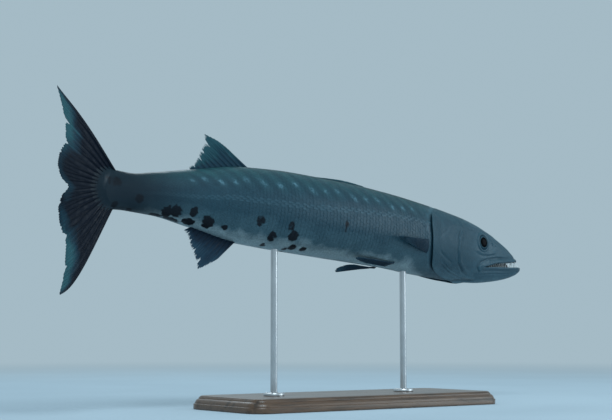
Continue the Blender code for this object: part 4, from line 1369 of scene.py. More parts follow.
@dataclass
class FishSkin:
    """The one skin over head, jaw, trunk and stalk, with the open mouth and the gill covers' free edges."""

    shape: FishShape
    pose: Pose
    relief: HeadRelief
    markings: Markings
    upper_columns: int = 118
    lower_columns: int = 78
    inner_columns: int = 22
    nose_rows: int = 10
    jaw_step: float = 0.0014
    cheek_rows: int = 112
    trunk_rows: int = 168
    pocket_rows: int = 5
    pocket_depth: float = 0.029
    head_inset: float = 0.3 * MILLIMETRE
    coat_inset: float = 0.9 * MILLIMETRE
    side_line: float = 20.0
    run_on_rows: int = 14
    slit_run: Point2 = (3.0, 7.0)
    probe: Point2 = (4e-4, 8e-3)
    gill_station: float = 0.30
    palate_arch: float = 0.62
    floor_dip: float = 0.48
    tongue_stretch: Stretch = Stretch((0.028, 0.140), (0.022, 0.04))
    tongue_rise: float = 1.12
    tongue_width: float = 0.22
    flap_rows: tuple[Point2, ...] = (
        (0.45, -0.25), (0.6, -0.65), (0.45, -1.05), (0.0, -1.3), (-3.0, -1.9), (-8.0, -3.3), (-9.5, -4.0),
        (-8.6, -4.7), (-3.0, -4.3), (0.8, -3.6), (4.0, -3.45),
    )
    eye_rim: tuple[Point2, ...] = (
        (0.82, -1.2), (0.86, 0.75), (0.90, 1.45), (0.96, 1.55), (1.04, 1.1), (1.13, 0.45), (1.21, -0.2),
        (1.24, -1.2), (1.05, -3.5), (0.82, -1.2),
    )

    def relief_on(self, station: Array, points: Array) -> Array:
        """The relief's rise, in metres, at points of the plain body."""
        length = self.shape.length
        return self.relief.rise(station, points[..., 1] / length, points[..., 2] / length)

    def relieved(self, station: Array, angle: Array, jaw: Jaw | None = None, head: bool = True,
                 rise: Array | float = 0.0) -> Array:
        """Points on the skin, moved out along its normals by the relief and a further rise.

        Args:
            station: places along the fish.
            angle: angles round it, in radians.
            jaw: the jaw the points belong to, if any.
            head: whether they are on the head, which has relief.
            rise: metres to add.

        Returns:
            Straight-frame points.
        """
        def cover(further: float, turned: float) -> Array:
            """The plain body, a little further along or round."""
            return self.shape.cover(station + further, angle + turned, jaw, head)

        base, (step, turn) = cover(0.0, 0.0), self.probe
        normal = np.cross(cover(step, 0.0) - cover(-step, 0.0), cover(0.0, turn) - cover(0.0, -turn))
        size = np.linalg.norm(normal, axis=-1, keepdims=True)
        normal = np.where(size > 1e-12, normal / np.maximum(size, 1e-12), 0.0)
        lift = np.asarray(rise, float)
        lift = lift + self.relief_on(station, base) - self.head_inset if head else lift - self.coat_inset
        return base + normal * np.broadcast_to(lift, base.shape[:-1])[..., None]

    def even_angles(self, station: Array, first: Array, last: Array, count: int,
                    jaw: Jaw | None = None) -> Array:
        """Angles at even arc lengths between two angles on each section.

        Args:
            station: one place along the fish for each row.
            first: the first angle of each row.
            last: the last angle of each row.
            count: number of spaces between columns.
            jaw: the jaw the rows belong to, if any.

        Returns:
            A row of angles for each station.
        """
        dense = np.linspace(0, 1, 600)[None]
        angles = first[:, None] + (last - first)[:, None] * dense
        points = self.shape.cover(np.broadcast_to(station[:, None], angles.shape), angles, jaw)
        steps = np.linalg.norm(np.diff(points, axis=1), axis=-1)
        arcs = np.concatenate([np.zeros((len(station), 1)), np.cumsum(steps, 1)], 1) + dense * 1e-7
        wanted = np.linspace(0, 1, count + 1)
        return np.stack([np.interp(wanted * arc[-1], arc, row) for arc, row in zip(arcs, angles)])

    def jaw_stations(self, jaw: Jaw) -> Array:
        """Stations of one jaw's rows, from its tip to the corner of the mouth.

        Args:
            jaw: which jaw.

        Returns:
            The stations, closest at the tip.
        """
        turns = np.linspace(0, math.pi / 2, self.nose_rows + 1)
        nose = self.shape.tip(jaw)[0] + self.shape.nose_rounding * (1 - np.cos(turns))
        count = round((self.shape.mouth_corner - nose[-1]) / self.jaw_step)
        return np.concatenate([nose, np.linspace(nose[-1], self.shape.mouth_corner, count + 1)[1:]])

    def values(self, station: Array, angle: Array, rise: Array | float = 0.0,
               inner: Array | float = 0.0) -> Values:
        """The numbers that the body's material reads on the skin.

        Args:
            station: places along the fish.
            angle: angles round it, in radians.
            rise: relief in metres, whose grooves get painted shade.
            inner: 1 inside the mouth.

        Returns:
            Named numbers for each point.
        """
        made = self.markings.read(station, angle)
        shape = np.shape(station)
        # Grooves of the relief get painted shade, darker the deeper they are.
        crease = smooth_step(-np.asarray(rise) / (2.2 * MILLIMETRE) - 0.12) * 0.8
        made["crease"], made["inner"] = np.broadcast_to(crease, shape), np.broadcast_to(inner, shape)
        made["rim"] = np.zeros(shape)
        return made

    def lining(self, jaw: Jaw, stations: Array, outer: Array) -> Array:
        """The inside of one jaw: an arched palate, or a floor with the tongue on it.

        Args:
            jaw: which jaw.
            stations: a place along the fish for each row.
            outer: the jaw's outer skin, lip to lip in each row.

        Returns:
            Straight-frame points between the lips.
        """
        shares = np.arange(1, self.inner_columns + 1) / (self.inner_columns + 1)
        start, end = outer[:, -1], outer[:, 0]
        half = np.abs(start[:, 1] - end[:, 1]) / 2
        inner = start[:, None] + (end - start)[:, None] * shares[:, None]
        height = self.palate_arch if jaw is Jaw.UPPER else -self.floor_dip
        inner[..., 2] += height * half[:, None] * np.sin(math.pi * shares) ** 0.95
        if jaw is Jaw.LOWER:
            rise = self.tongue_stretch(stations) * half * self.tongue_rise
            inner[..., 2] += rise[:, None] * np.exp(-(((shares - 0.5) / self.tongue_width) ** 4))
        return inner

    def add_jaw(self, maker: MeshMaker, jaw: Jaw) -> Array:
        """Adds one jaw as a closed tube of outer skin and mouth lining.

        Args:
            maker: the mesh to add to.
            jaw: which jaw.

        Returns:
            The lining's last row, at the corner of the mouth.
        """
        stations = self.jaw_stations(jaw)
        dip = self.shape.side_angle(stations, self.shape.lip(jaw)(stations), jaw)
        if jaw is Jaw.UPPER:
            first, last, count = dip, math.pi - dip, self.upper_columns
        else:
            first, last, count = math.pi - dip, 2 * math.pi + dip, self.lower_columns
        angles = self.even_angles(stations, first, last, count, jaw)
        grid_s = np.broadcast_to(stations[:, None], angles.shape)
        outer = self.relieved(grid_s, angles, jaw)
        inner = self.lining(jaw, stations, outer)
        inside = inner.shape[:2]
        rise = self.relief_on(grid_s, self.shape.cover(grid_s, angles, jaw))
        ring = np.concatenate([outer, inner], 1)
        maker.add_tube(self.pose.place(ring), self.values(
            np.broadcast_to(stations[:, None], ring.shape[:2]),
            np.concatenate([angles, np.broadcast_to(angles[:, :1], inside)], 1),
            np.concatenate([rise, np.zeros(inside)], 1),
            np.concatenate([np.zeros(angles.shape), np.ones(inside)], 1),
        ))
        return inner[-1]

    def add_pocket(self, maker: MeshMaker, palate: Array, floor: Array,
                   corners: tuple[Array, Array]) -> None:
        """Closes the mouth behind its corner with a shrinking pocket.

        Args:
            maker: the mesh to add to.
            palate: the upper lining's last row, right to left.
            floor: the lower lining's last row, left to right.
            corners: the mouth's left and right corners.
        """
        ring = np.concatenate([palate, corners[0][None], floor, corners[1][None]])
        middle = ring.mean(0)
        rows = []
        for row in range(self.pocket_rows + 1):
            share = row / self.pocket_rows
            shrunk = middle + (ring - middle) * math.sqrt(1 - share**2)
            shrunk[:, 0] -= self.pocket_depth * share
            rows.append(shrunk)
        grid = np.stack(rows)
        station = -grid[..., 0] / self.shape.length
        maker.add_tube(self.pose.place(grid), self.values(station, np.zeros_like(station), 0.0, 1.0))

    def column_angles(self, station: Array) -> Array:
        """Angles of all columns on whole sections behind the mouth, from the left corner over the back.

        Args:
            station: one place along the fish for each row.

        Returns:
            A row of angles for each station.
        """
        end = self.shape.mouth_corner
        corner = float(self.shape.side_angle(end, self.shape.upper_lip(end)))
        ease = smooth_step((station - end) / 0.15)
        dip = corner + (-math.radians(self.side_line) - corner) * ease
        upper = self.even_angles(station, dip, math.pi - dip, self.upper_columns)
        lower = self.even_angles(station, math.pi - dip, 2 * math.pi + dip, self.lower_columns)
        return np.concatenate([upper, lower[:, 1:-1]], 1)

    def flap(self, edge_s: Array, edge_a: Array) -> tuple[Array, Array]:
        """Rows that turn in round the gill cover's free edge and run out again over the body.

        Args:
            edge_s: stations of the edge, one for each column.
            edge_a: its angles in radians.

        Returns:
            Straight-frame points and their stations.
        """
        freedom = self.shape.gill_freedom(edge_a)
        raised = self.shape.cover(edge_s, edge_a, head=True) - self.shape.cover(edge_s, edge_a)
        swell = np.linalg.norm(raised, axis=-1)
        rows, stations = [], []
        for run, drop in self.flap_rows:
            stations.append(edge_s + run * freedom * MILLIMETRE / self.shape.length)
            level = swell - self.head_inset + drop * freedom * MILLIMETRE
            rows.append(self.relieved(stations[-1], edge_a, head=False, rise=level + self.coat_inset))
        return np.stack(rows), np.stack(stations)

    def trunk(self, edge_s: Array, edge_a: Array) -> tuple[Array, Array, Array]:
        """Rows from the gill slit to where the skin closes over the tail fin's base.

        Args:
            edge_s: stations of the gill cover's edge, one for each column.
            edge_a: its angles in radians.

        Returns:
            Straight-frame points, their stations and their angles.
        """
        shape = self.shape
        share = np.linspace(0, 1, self.trunk_rows + 1)[1:]
        slit = between(self.slit_run, shape.gill_freedom(edge_a)) * MILLIMETRE / shape.length
        first = edge_s + slit
        angles = self.column_angles(between((self.gill_station, 1.0), share))
        angles = edge_a + (angles - edge_a) * smooth_step(share[:, None] * 12)
        stations = first + (shape.stalk_rim(angles) - first) * share[:, None] ** 1.02
        ease = smooth_step(np.linspace(0, 1, self.trunk_rows)[:, None] * 10)
        points = self.relieved(stations, angles, head=False, rise=(1 - ease) * 0.3 * MILLIMETRE)
        past = np.linspace(0, shape.run_on, self.run_on_rows + 1)[1:, None]
        rest = self.coat_inset * smooth_step(past / (shape.run_on * 0.8) - 0.2)
        close = self.relieved(stations[-1] + past, angles[-1], head=False, rise=rest)
        close[-1, :, 1] = 0.0
        return (np.concatenate([points, close]), np.concatenate([stations, stations[-1:] + past]),
                np.concatenate([angles, np.repeat(angles[-1:], len(close), 0)]))

    def add_body(self, maker: MeshMaker) -> tuple[Array, Array]:
        """Adds everything behind the mouth's corner, as one closed-in tube.

        Args:
            maker: the mesh to add to.

        Returns:
            The mouth's left and right corners.
        """
        corner = self.shape.mouth_corner
        share = np.linspace(0, 1, self.cheek_rows + 1)
        angles = self.column_angles(between((corner, self.gill_station), share))
        rim = self.shape.gill_station(angles)
        cheek_s = corner + (rim - corner) * share[:, None]
        cheek = self.relieved(cheek_s, angles)
        edge_s, edge_a = rim[-1], angles[-1]
        flap, flap_s = self.flap(edge_s, edge_a)
        trunk, trunk_s, trunk_a = self.trunk(edge_s, edge_a)
        stations = np.concatenate([cheek_s, flap_s, trunk_s])
        turned = np.concatenate([angles, np.broadcast_to(edge_a, flap_s.shape), trunk_a])
        shade_depths = np.zeros(stations.shape)
        shade_depths[:len(cheek)] = self.relief_on(cheek_s, self.shape.cover(cheek_s, angles, head=True))
        # The slit behind the gill cover gets the painted shade of a deep groove.
        shade_depths[len(cheek) + 3:len(cheek) + len(flap)] = -5 * MILLIMETRE * self.shape.gill_freedom(edge_a)
        grid = np.concatenate([cheek, flap, trunk])
        maker.add_tube(self.pose.place(grid), self.values(stations, turned, shade_depths))
        return cheek[0, 0], cheek[0, self.upper_columns]

    def add_eye_rims(self, maker: MeshMaker, segments: int = 72) -> None:
        """Adds the soft rim of skin that closes round each eye.

        Args:
            maker: the mesh to add to.
            segments: points round each rim.
        """
        turns = turns_round(segments)
        centre, radius = self.shape.eye_place, self.shape.eye_radius
        for flank in Flank:
            rows = []
            for reach, level in self.eye_rim:
                station = centre[0] + radius * reach * np.cos(turns)
                height = centre[1] + radius * reach * np.sin(turns)
                lateral = self.shape.side_at(station, height) + level * MILLIMETRE / self.shape.length
                rows.append(self.shape.metres(station, flank.value * lateral, height))
            grid = np.stack(rows)
            angle = np.arctan2(grid[..., 2] - 0.01, grid[..., 1])
            maker.add_tube(self.pose.place(grid), self.values(-grid[..., 0] / self.shape.length, angle))

    def build(self, look: Material) -> Object:
        """Builds the skin.

        Args:
            look: the body's material.

        Returns:
            The finished piece.
        """
        maker = MeshMaker()
        palate = self.add_jaw(maker, Jaw.UPPER)
        floor = self.add_jaw(maker, Jaw.LOWER)
        corners = self.add_body(maker)
        self.add_pocket(maker, palate, floor, corners)
        self.add_eye_rims(maker)
        piece = maker.build("skin", look)
        return hand_over(piece, "skin", "head", "lower_jaw", "trunk", "tail_stalk")


@dataclass
class ScaleCoat:
    """Overlapping scales in staggered rings, made by Geometry Nodes and laid on the skin."""

    skin: FishSkin
    girth: Girth
    name: str
    around: int
    stations: Point2
    on_head: bool = False
    pieces: int = 1
    aspect: float = 0.95
    scale_length: float = 1.75
    scale_width: float = 1.16
    thickness: float = 0.035
    lift: float = 0.055
    sink: float = 0.075
    dome: float = 0.045
    size_spread: float = 0.05
    turn_spread: float = 0.05
    seed: int = 7
    patch: float = 0.003
    face_edge: float = 0.176
    face_fade: float = 0.035
    face_size: float = 0.60
    rim_gap: float = 1.55
    slit_gap: float = 2.0 * MILLIMETRE
    stalk_shrink: float = 0.35
    cheek_end: float = 52.0
    bone_rise: float = 1.0 * MILLIMETRE
    stalk_run: float = 0.017
    line_reach: float = 3.4
    off_skin: float = 0.35 * MILLIMETRE

    def roots(self) -> Values:
        """Places of the scales' roots, ring by ring.

        Returns:
            Station, share round, spacing and lateral-line tube of each scale.
        """
        shape, rows = self.skin.shape, []
        station, ring = self.stations[0], 0
        while station < self.stations[1]:
            spacing = float(self.girth.length(station)) / self.around
            rows += [(station, (k + 0.5 * (ring % 2)) / self.around, spacing) for k in range(self.around)]
            station += spacing * self.aspect / shape.length
            ring += 1
        station, share, spacing = np.array(rows).T
        angle = self.girth.angle(station, share)
        rim, below = shape.gill_station(angle), -level_degrees(angle)
        if self.on_head:
            front = self.face_edge + 0.008 * np.sin(below * 0.13 + 0.6) + 0.005 * np.sin(below * 0.41)
            keep = (station < rim - self.rim_gap * spacing / shape.length) & (station > front)
            bones = np.abs(self.skin.relief.rise(station, 0.02, shape.section(station, angle)[1]))
            keep &= (below < self.cheek_end) & (bones < self.bone_rise)
            grown = smooth_step((station - front) / self.face_fade)
            spacing = spacing * between((self.face_size, 1.0), grown)
        else:
            past = station - shape.stalk_rim(angle)
            keep = (station > rim + self.slit_gap / shape.length) & (past < self.stalk_run)
            spacing = spacing * (1 - self.stalk_shrink * smooth_step(past / self.stalk_run + 0.3))
        off_line = np.abs(below - self.skin.markings.lateral_line(station))
        tube = ((off_line < self.line_reach) & (not self.on_head)).astype(float)
        found = {"root_s": station, "root_share": share, "spacing": spacing, "tube": tube}
        return {key: numbers[keep] for key, numbers in found.items()}

    def flat_scales(self, roots: Values, look: Material) -> Mesh:
        """Lays the scales on a flat sheet with Geometry Nodes.

        Args:
            roots: what roots() gives.
            look: the material to set.

        Returns:
            One mesh that holds every scale and keeps its root's values.
        """
        root_x = roots["root_s"] * self.skin.shape.length
        flat = np.stack([root_x, roots["root_share"], np.zeros_like(root_x)], -1)
        source = point_object(self.name + "_roots", flat, roots)
        r = NodeRecipe(self.name + "_recipe")
        long, wide = r.size("Scale length", self.scale_length), r.size("Scale width", self.scale_width)
        thick, lift = r.size("Thickness", self.thickness), r.size("Free edge lift", self.lift)
        sink, dome = r.size("Root sink", self.sink), r.size("Dome", self.dome)
        spread, turn = r.size("Size spread", self.size_spread), r.size("Turn spread", self.turn_spread)
        seed = r.size("Seed", self.seed)
        vane = r.node("GeometryNodeMeshCube", {
            "Size": (1.0, 1.0, 1.0), "Vertices X": 5, "Vertices Y": 5, "Vertices Z": 2,
        })
        place = r.node("ShaderNodeSeparateXYZ", {0: r.node("GeometryNodeInputPosition").outputs[0]})
        u, v = r.plus(place.outputs["X"], 0.5), r.times(place.outputs["Y"], 2.0)
        v2 = r.times(v, v)
        blunt = r.less(1.0, r.times(r.times(v2, u), 0.30))
        arched = r.less(r.less(r.times(lift, u), r.times(sink, r.less(1.0, u))), r.times(dome, v2))
        half = r.times(thick, r.less(0.5, r.times(u, 0.26)))
        kept = r.node("GeometryNodeSetPosition", {
            "Geometry": vane.outputs["Mesh"],
            "Position": r.vector(r.times(r.times(u, long), blunt), r.times(r.times(v, wide), 0.5),
                                 r.plus(arched, r.times(r.times(place.outputs["Z"], 2.0), half))),
        }).outputs[0]
        for key, number in (("edge", u), ("keel", v)):
            inputs = {"Geometry": kept, "Name": key, "Value": number}
            kept = r.node("GeometryNodeStoreNamedAttribute", inputs, data_type="FLOAT",
                          domain="POINT").outputs[0]
        size = r.chance(r.less(1.0, spread), r.plus(1.0, spread), seed)
        swing = r.chance(r.times(turn, -1.0), turn, r.plus(seed, 1.0))
        laid = r.node("GeometryNodeInstanceOnPoints", {
            "Points": r.entry.outputs[0], "Instance": kept, "Rotation": r.vector(z=swing),
            "Scale": r.times(r.read("spacing"), size),
        })
        return r.run(source, laid.outputs[0], look)

    def lay(self, mesh: Mesh) -> None:
        """Moves flat scales onto the posed body and gives them their markings and bake map.

        Args:
            mesh: the flat scales, changed in place.
        """
        count, length = len(mesh.vertices), self.skin.shape.length
        flat = np.empty(count * 3, np.float32)
        mesh.vertices.foreach_get("co", flat)
        x, y, z = flat.reshape(-1, 3).astype(float).T
        root_s, root_share, spacing, tube, edge, keel = (
            taken(mesh, key) for key in ("root_s", "root_share", "spacing", "tube", "edge", "keel")
        )
        station, girth = x / length, self.girth.length(root_s)
        across = (y - root_share) / girth
        angle = self.girth.angle(station, root_share + across)
        rise = z + tube * 0.05 * spacing * hump(keel, 0.3)
        if not self.on_head:
            rise = rise + self.off_skin
        points = self.skin.relieved(station, angle, head=self.on_head, rise=rise)
        mesh.vertices.foreach_set("co", self.skin.pose.place(points).astype(np.float32).ravel())
        border = np.maximum(smooth_step((edge - 0.72) / 0.28), smooth_step((np.abs(keel) - 0.6) / 0.5))
        values = self.skin.markings.read(station, angle)
        values.update(line=tube * hump(keel, 0.5), crease=np.zeros(count), inner=np.zeros(count),
                      rim=border * (0.4 if self.on_head else 0.65))
        store(mesh, values)
        # Each scale has a small patch of its own in the bake map, round its root's place.
        local_x = (station - root_s) * length / spacing / self.scale_length
        local_y = across * girth / spacing / self.scale_width
        uv = np.stack([0.02 + 0.96 * root_s + self.patch * local_x,
                       0.02 + 0.96 * np.mod(root_share, 1.0) + self.patch * local_y], -1)
        corner = np.empty(len(mesh.loops), np.int32)
        mesh.loops.foreach_get("vertex_index", corner)
        chart = mesh.uv_layers.new(name="OFBake")
        chart.uv.foreach_set("vector", uv[corner].astype(np.float32).ravel())
        mesh.update()

    def build(self, look: Material) -> list[Object]:
        """Builds the coat in its pieces.

        Args:
            look: the body's material.

        Returns:
            The finished pieces.
        """
        roots, made = self.roots(), []
        order = np.argsort(roots["root_s"], kind="stable")
        for k, part in enumerate(np.array_split(order, self.pieces)):
            name = f"{self.name}_{k + 1}" if self.pieces > 1 else self.name
            mesh = self.flat_scales({key: numbers[part] for key, numbers in roots.items()}, look)
            self.lay(mesh)
            made.append(hand_over(finished_object(name, mesh, look, sharp=70.0), "skin"))
        return made


@dataclass
class Eye:
    """One eye: a flattened ball with a slight dome over its pupil."""

    shape: FishShape
    pose: Pose
    flank: Flank
    rings: int = 44
    segments: int = 72
    dome: float = 0.7 * MILLIMETRE
    fill: Point2 = (0.985, 0.93)

    def build(self, look: Material) -> Object:
        """Builds the eye in its socket.

        Args:
            look: the eye's material.

        Returns:
            The finished piece.
        """
        shape, way = self.shape, self.flank.value
        centre_s, centre_z = shape.eye_place
        lateral = float(shape.side_at(centre_s, centre_z)) - shape.eye_inset
        centre = shape.metres(centre_s, way * lateral, centre_z)
        radius = shape.eye_radius * shape.length * self.fill[0]
        depth = shape.eye_depth * shape.length * self.fill[1]
        lean = np.linspace(0, math.pi, self.rings + 1)[:, None]
        turn = turns_round(self.segments)[None]
        reach, front = np.sin(lean) * np.ones_like(turn), lean < math.pi / 2
        bulge = self.dome * smooth_step((0.62 - reach) / 0.35) * front
        grid = np.stack([centre[0] + radius * np.sin(lean) * np.cos(turn),
                         centre[1] + way * (depth * np.cos(lean) + bulge),
                         centre[2] + radius * np.sin(lean) * np.sin(turn)], -1)
        values = {"reach": np.where(front, reach, 1.0), "turn": turn * np.ones_like(lean)}
        maker = MeshMaker()
        maker.add_tube(self.pose.place(grid), values)
        side = self.flank.name.lower()
        return hand_over(maker.build(f"eye_ball_{side}", look), "eye", f"eye_{side}")


@dataclass(frozen=True)
class ToothRow:
    """A row of teeth on both sides of one jaw, with sizes in metres.

    Inwards is their lateral place as a share of the lip's, and lean tips them backwards.
    """

    jaw: Jaw
    first: float
    last: float
    count: int
    length: float
    width: float
    inwards: float
    lean: float = 0.0012


@dataclass
class Teeth:
    """Flattened, pointed teeth set inside both lips."""

    shape: FishShape
    pose: Pose
    sides: int = 8
    levels: int = 6
    root_depth: float = 0.0025
    rows: tuple[ToothRow, ...] = (
        ToothRow(Jaw.UPPER, 0.022, 0.034, 2, 0.0105, 0.0034, 0.60, 0.0022),
        ToothRow(Jaw.UPPER, 0.050, 0.114, 10, 0.0046, 0.0022, 0.66),
        ToothRow(Jaw.UPPER, 0.040, 0.128, 24, 0.0013, 0.0011, 0.90),
        ToothRow(Jaw.LOWER, 0.012, 0.012, 1, 0.0066, 0.0028, 0.50),
        ToothRow(Jaw.LOWER, 0.038, 0.116, 11, 0.0046, 0.0024, 0.82),
    )

    def tooth(self, row: ToothRow, flank: Flank, number: int) -> tuple[Array, Array]:
        """Points of one tooth as rings from its root to its point.

        Args:
            row: the row it stands in.
            flank: the side it is on.
            number: its place in the row.

        Returns:
            Rings of points, and how far up the tooth each point is.
        """
        shape, side = self.shape, flank.value
        station = between((row.first, row.last), number / max(row.count - 1, 1))
        lip = float(shape.lip(row.jaw)(station))
        gape = (float(shape.upper_lip(station)) - float(shape.lower_lip(station))) * shape.length
        vary = 1 + 0.22 * math.sin(2.4 * number + 0.7 * side) + 0.12 * math.sin(5.1 * number)
        size = max(min(row.length * vary, 0.8 * gape - 0.4 * MILLIMETRE), 0.6 * MILLIMETRE)
        dip = shape.side_angle(np.array(station), np.array(lip), row.jaw)
        lateral = float(shape.section(np.array(station), dip, row.jaw)[0])
        foot = shape.metres(station, side * lateral * row.inwards, lip)
        way = -1 if row.jaw is Jaw.UPPER else 1
        along = np.linspace(0, 1, self.levels + 1)[:, None]
        turn = turns_round(self.sides)[None]
        taper = np.sqrt(np.clip(1 - along**1.4, 0, 1)) * (0.80 + 0.2 * along)
        taper[-1] = 0.03
        points = np.stack(np.broadcast_arrays(
            foot[0] + row.width / 2 * taper * np.cos(turn) - row.lean * along**1.5,
            foot[1] + row.width * 0.27 * taper * np.sin(turn) - side * 0.3 * MILLIMETRE * along,
            foot[2] + way * (-self.root_depth + (size + self.root_depth) * along),
        ), -1)
        return points, along * np.ones_like(turn)

    def build(self, look: Material) -> list[Object]:
        """Builds the teeth of each jaw as one piece.

        Args:
            look: the enamel.

        Returns:
            The finished pieces.
        """
        made = []
        for jaw in Jaw:
            maker = MeshMaker()
            for row in (row for row in self.rows if row.jaw is jaw):
                for flank in Flank:
                    for number in range(row.count):
                        rings, along = self.tooth(row, flank, number)
                        ends = np.stack([rings[0].mean(0), rings[-1].mean(0)])
                        points = np.concatenate([rings.reshape(-1, 3), ends])
                        reach = np.concatenate([along.reshape(-1), [0.0, 1.0]])
                        maker.add(self.pose.place(points), capped_faces(*rings.shape[:2]), {"along": reach})
            made.append(hand_over(maker.build(f"teeth_{jaw.value}", look, merge=1e-7), "skin"))
        return made


@dataclass
class RayedFin:
    """A thin fin with branching rays, whose edge is frayed between them."""

    shape: FishShape
    pose: Pose
    name: str
    finish: FinFinish
    rays: int
    thickness: Point2
    fray: float = 0.005
    rows: int = 44
    per_ray: int = 12
    tears: tuple[Point2, ...] = ()
    seed: int = 3
    sunk: float = 0.008
    sunk_rows: int = 4
    trim: float = 0.977
    fleshy: float = 0.0
    membrane: float = 0.42

    def root(self, across: Array) -> Array:
        """Straight-frame points of the root line; each kind of fin gives its own."""
        raise NotImplementedError

    def edge(self, across: Array) -> Array:
        """Straight-frame points of the outer edge; each kind of fin gives its own."""
        raise NotImplementedError

    def shaped(self, grid: Array, across: Array, along: Array) -> Array:
        """Bends the grid between root and edge; most fins stay straight."""
        return grid

    def buried(self, root: Array, edge: Array, depth: float) -> Array:
        """The root line carried on along its rays into the flesh, to a depth in metres."""
        ray = edge - root
        return root - ray / np.linalg.norm(ray, axis=-1, keepdims=True) * depth

    def facing(self, grid: Array) -> Array:
        """Unit directions across the fin's thickness."""
        return np.broadcast_to(np.array([0.0, 1.0, 0.0]), grid.shape)

    def paleness(self, across: Array, along: Array) -> Array:
        """How pale the membrane is, from 0 at the root to 1 at the edge."""
        return np.broadcast_to(along, np.broadcast_shapes(along.shape, across.shape))

    def ray_ridges(self, across: Array, along: Array) -> Array:
        """Height of the rays, which fork twice on their way out.

        Args:
            across: shares across the fin, one for each column.
            along: shares from root to edge, one for each row.

        Returns:
            Numbers from 0 between rays to 1 on them.
        """
        fork = 0.24 * smooth_step((along - 0.28) / 0.40)
        twig = 0.115 * smooth_step((along - 0.58) / 0.34)
        width = 0.17 - 0.115 * smooth_step((along - 0.20) / 0.65)
        ridge = np.zeros((along.shape[0], len(across)))
        place = across[None] * self.rays
        for side in (-1, 1):
            for tip in (-1, 1):
                middle = np.floor(place) + 0.5 + side * fork + tip * twig
                ridge = np.maximum(ridge, hump(place - middle, width))
        return ridge

    def frayed(self, across: Array) -> Array:
        """Length of each column as a share of the whole, shorter between rays and in tears.

        Args:
            across: shares across the fin, one for each column.

        Returns:
            Shares up to 1.
        """
        draw = np.random.default_rng(self.seed)
        spots = self.rays * 4 + 1
        worn = np.interp(across * self.rays * 4, np.arange(spots), draw.random(spots))
        ends = self.ray_ridges(across, np.array([[1.0]]))[0]
        long = np.linalg.norm(self.edge(across) - self.root(across), axis=-1)
        short = self.fray * (1 - ends) * (0.35 + worn**2 * 1.3) / long
        for place, depth in self.tears:
            short = short + depth * hump((across - place) * self.rays, 0.16)
        return 1 - short

    def build(self) -> Object:
        """Builds the fin.

        Returns:
            The finished piece.
        """
        across = np.linspace(0, 1, self.rays * self.per_ray + 1)
        along = np.linspace(0, 1, self.rows)[:, None]
        root, edge = self.root(across), self.edge(across)
        reach = along * self.frayed(across)[None] * self.trim
        grid = root + (edge - root) * reach[..., None]
        depths = np.linspace(self.sunk, 0, self.sunk_rows, endpoint=False)
        flesh = [self.buried(root, edge, depth) for depth in depths]
        grid = np.concatenate([flesh, self.shaped(grid, across, reach)])
        along = np.concatenate([np.zeros((self.sunk_rows, 1)), along])
        ridge = self.ray_ridges(across, along)
        lead = hump(across * self.rays, 0.7)[None]
        thin = between(self.thickness, along**0.65)
        raised = ridge * smooth_step(along / self.fleshy) if self.fleshy else ridge
        half = thin * (between((self.membrane, 1.0), raised) + 0.5 * lead * (1 - 0.7 * along))
        points, faces = sheet_grid(grid, self.facing(grid) * half[..., None])
        pale = np.clip(self.paleness(across[None], along), 0, 1)
        values = {"along": np.broadcast_to(along, ridge.shape), "ray": ridge, "pale": pale}
        both = {key: np.concatenate([numbers, numbers[:, ::-1]], 1) for key, numbers in values.items()}
        maker = MeshMaker()
        maker.add(self.pose.place(points), faces, both)
        piece = maker.build(self.name, self.finish.make(), merge=1e-7, sharp=75.0)
        return hand_over(piece, "fin", self.name.removesuffix("_rays"))


@dataclass
class MedianFin(RayedFin):
    """A fin that stands on the back or the belly."""

    ridge: Ridge = Ridge.BACK
    root_span: Point2 = (0.0, 1.0)
    outline: tuple[tuple[float, float, float], ...] = ()

    def root(self, across: Array) -> Array:
        """The root line, along the back or the belly.

        Args:
            across: shares across the fin.

        Returns:
            Straight-frame points.
        """
        station = between(self.root_span, across)
        line = self.shape.back if self.ridge is Ridge.BACK else self.shape.belly
        return self.shape.metres(station, 0.0, line(station))

    def edge(self, across: Array) -> Array:
        """The outer edge through the outline's points.

        Args:
            across: shares across the fin.

        Returns:
            Straight-frame points.
        """
        stations = Curve([(share, station) for share, station, _ in self.outline])
        heights = Curve([(share, height) for share, _, height in self.outline])
        return self.shape.metres(stations(across), 0.0, heights(across))


@dataclass
class FoldedFin(MedianFin):
    """The spiny fin, laid back along the ridge of the back."""

    rise: float = 0.0050
    first_tip: float = 0.011
    tips_run_on: float = 0.007

    def edge(self, across: Array) -> Array:
        """The tips of the folded spines, close over the back.

        Args:
            across: shares across the fin.

        Returns:
            Straight-frame points.
        """
        run = self.root_span[1] - self.root_span[0] + self.tips_run_on
        station = self.root_span[0] + self.first_tip + run * across
        height = self.rise * np.sin(math.pi * np.clip(0.22 + 0.70 * across, 0, 1)) + 0.0010
        return self.shape.metres(station, 0.0, self.shape.back(station) + height)


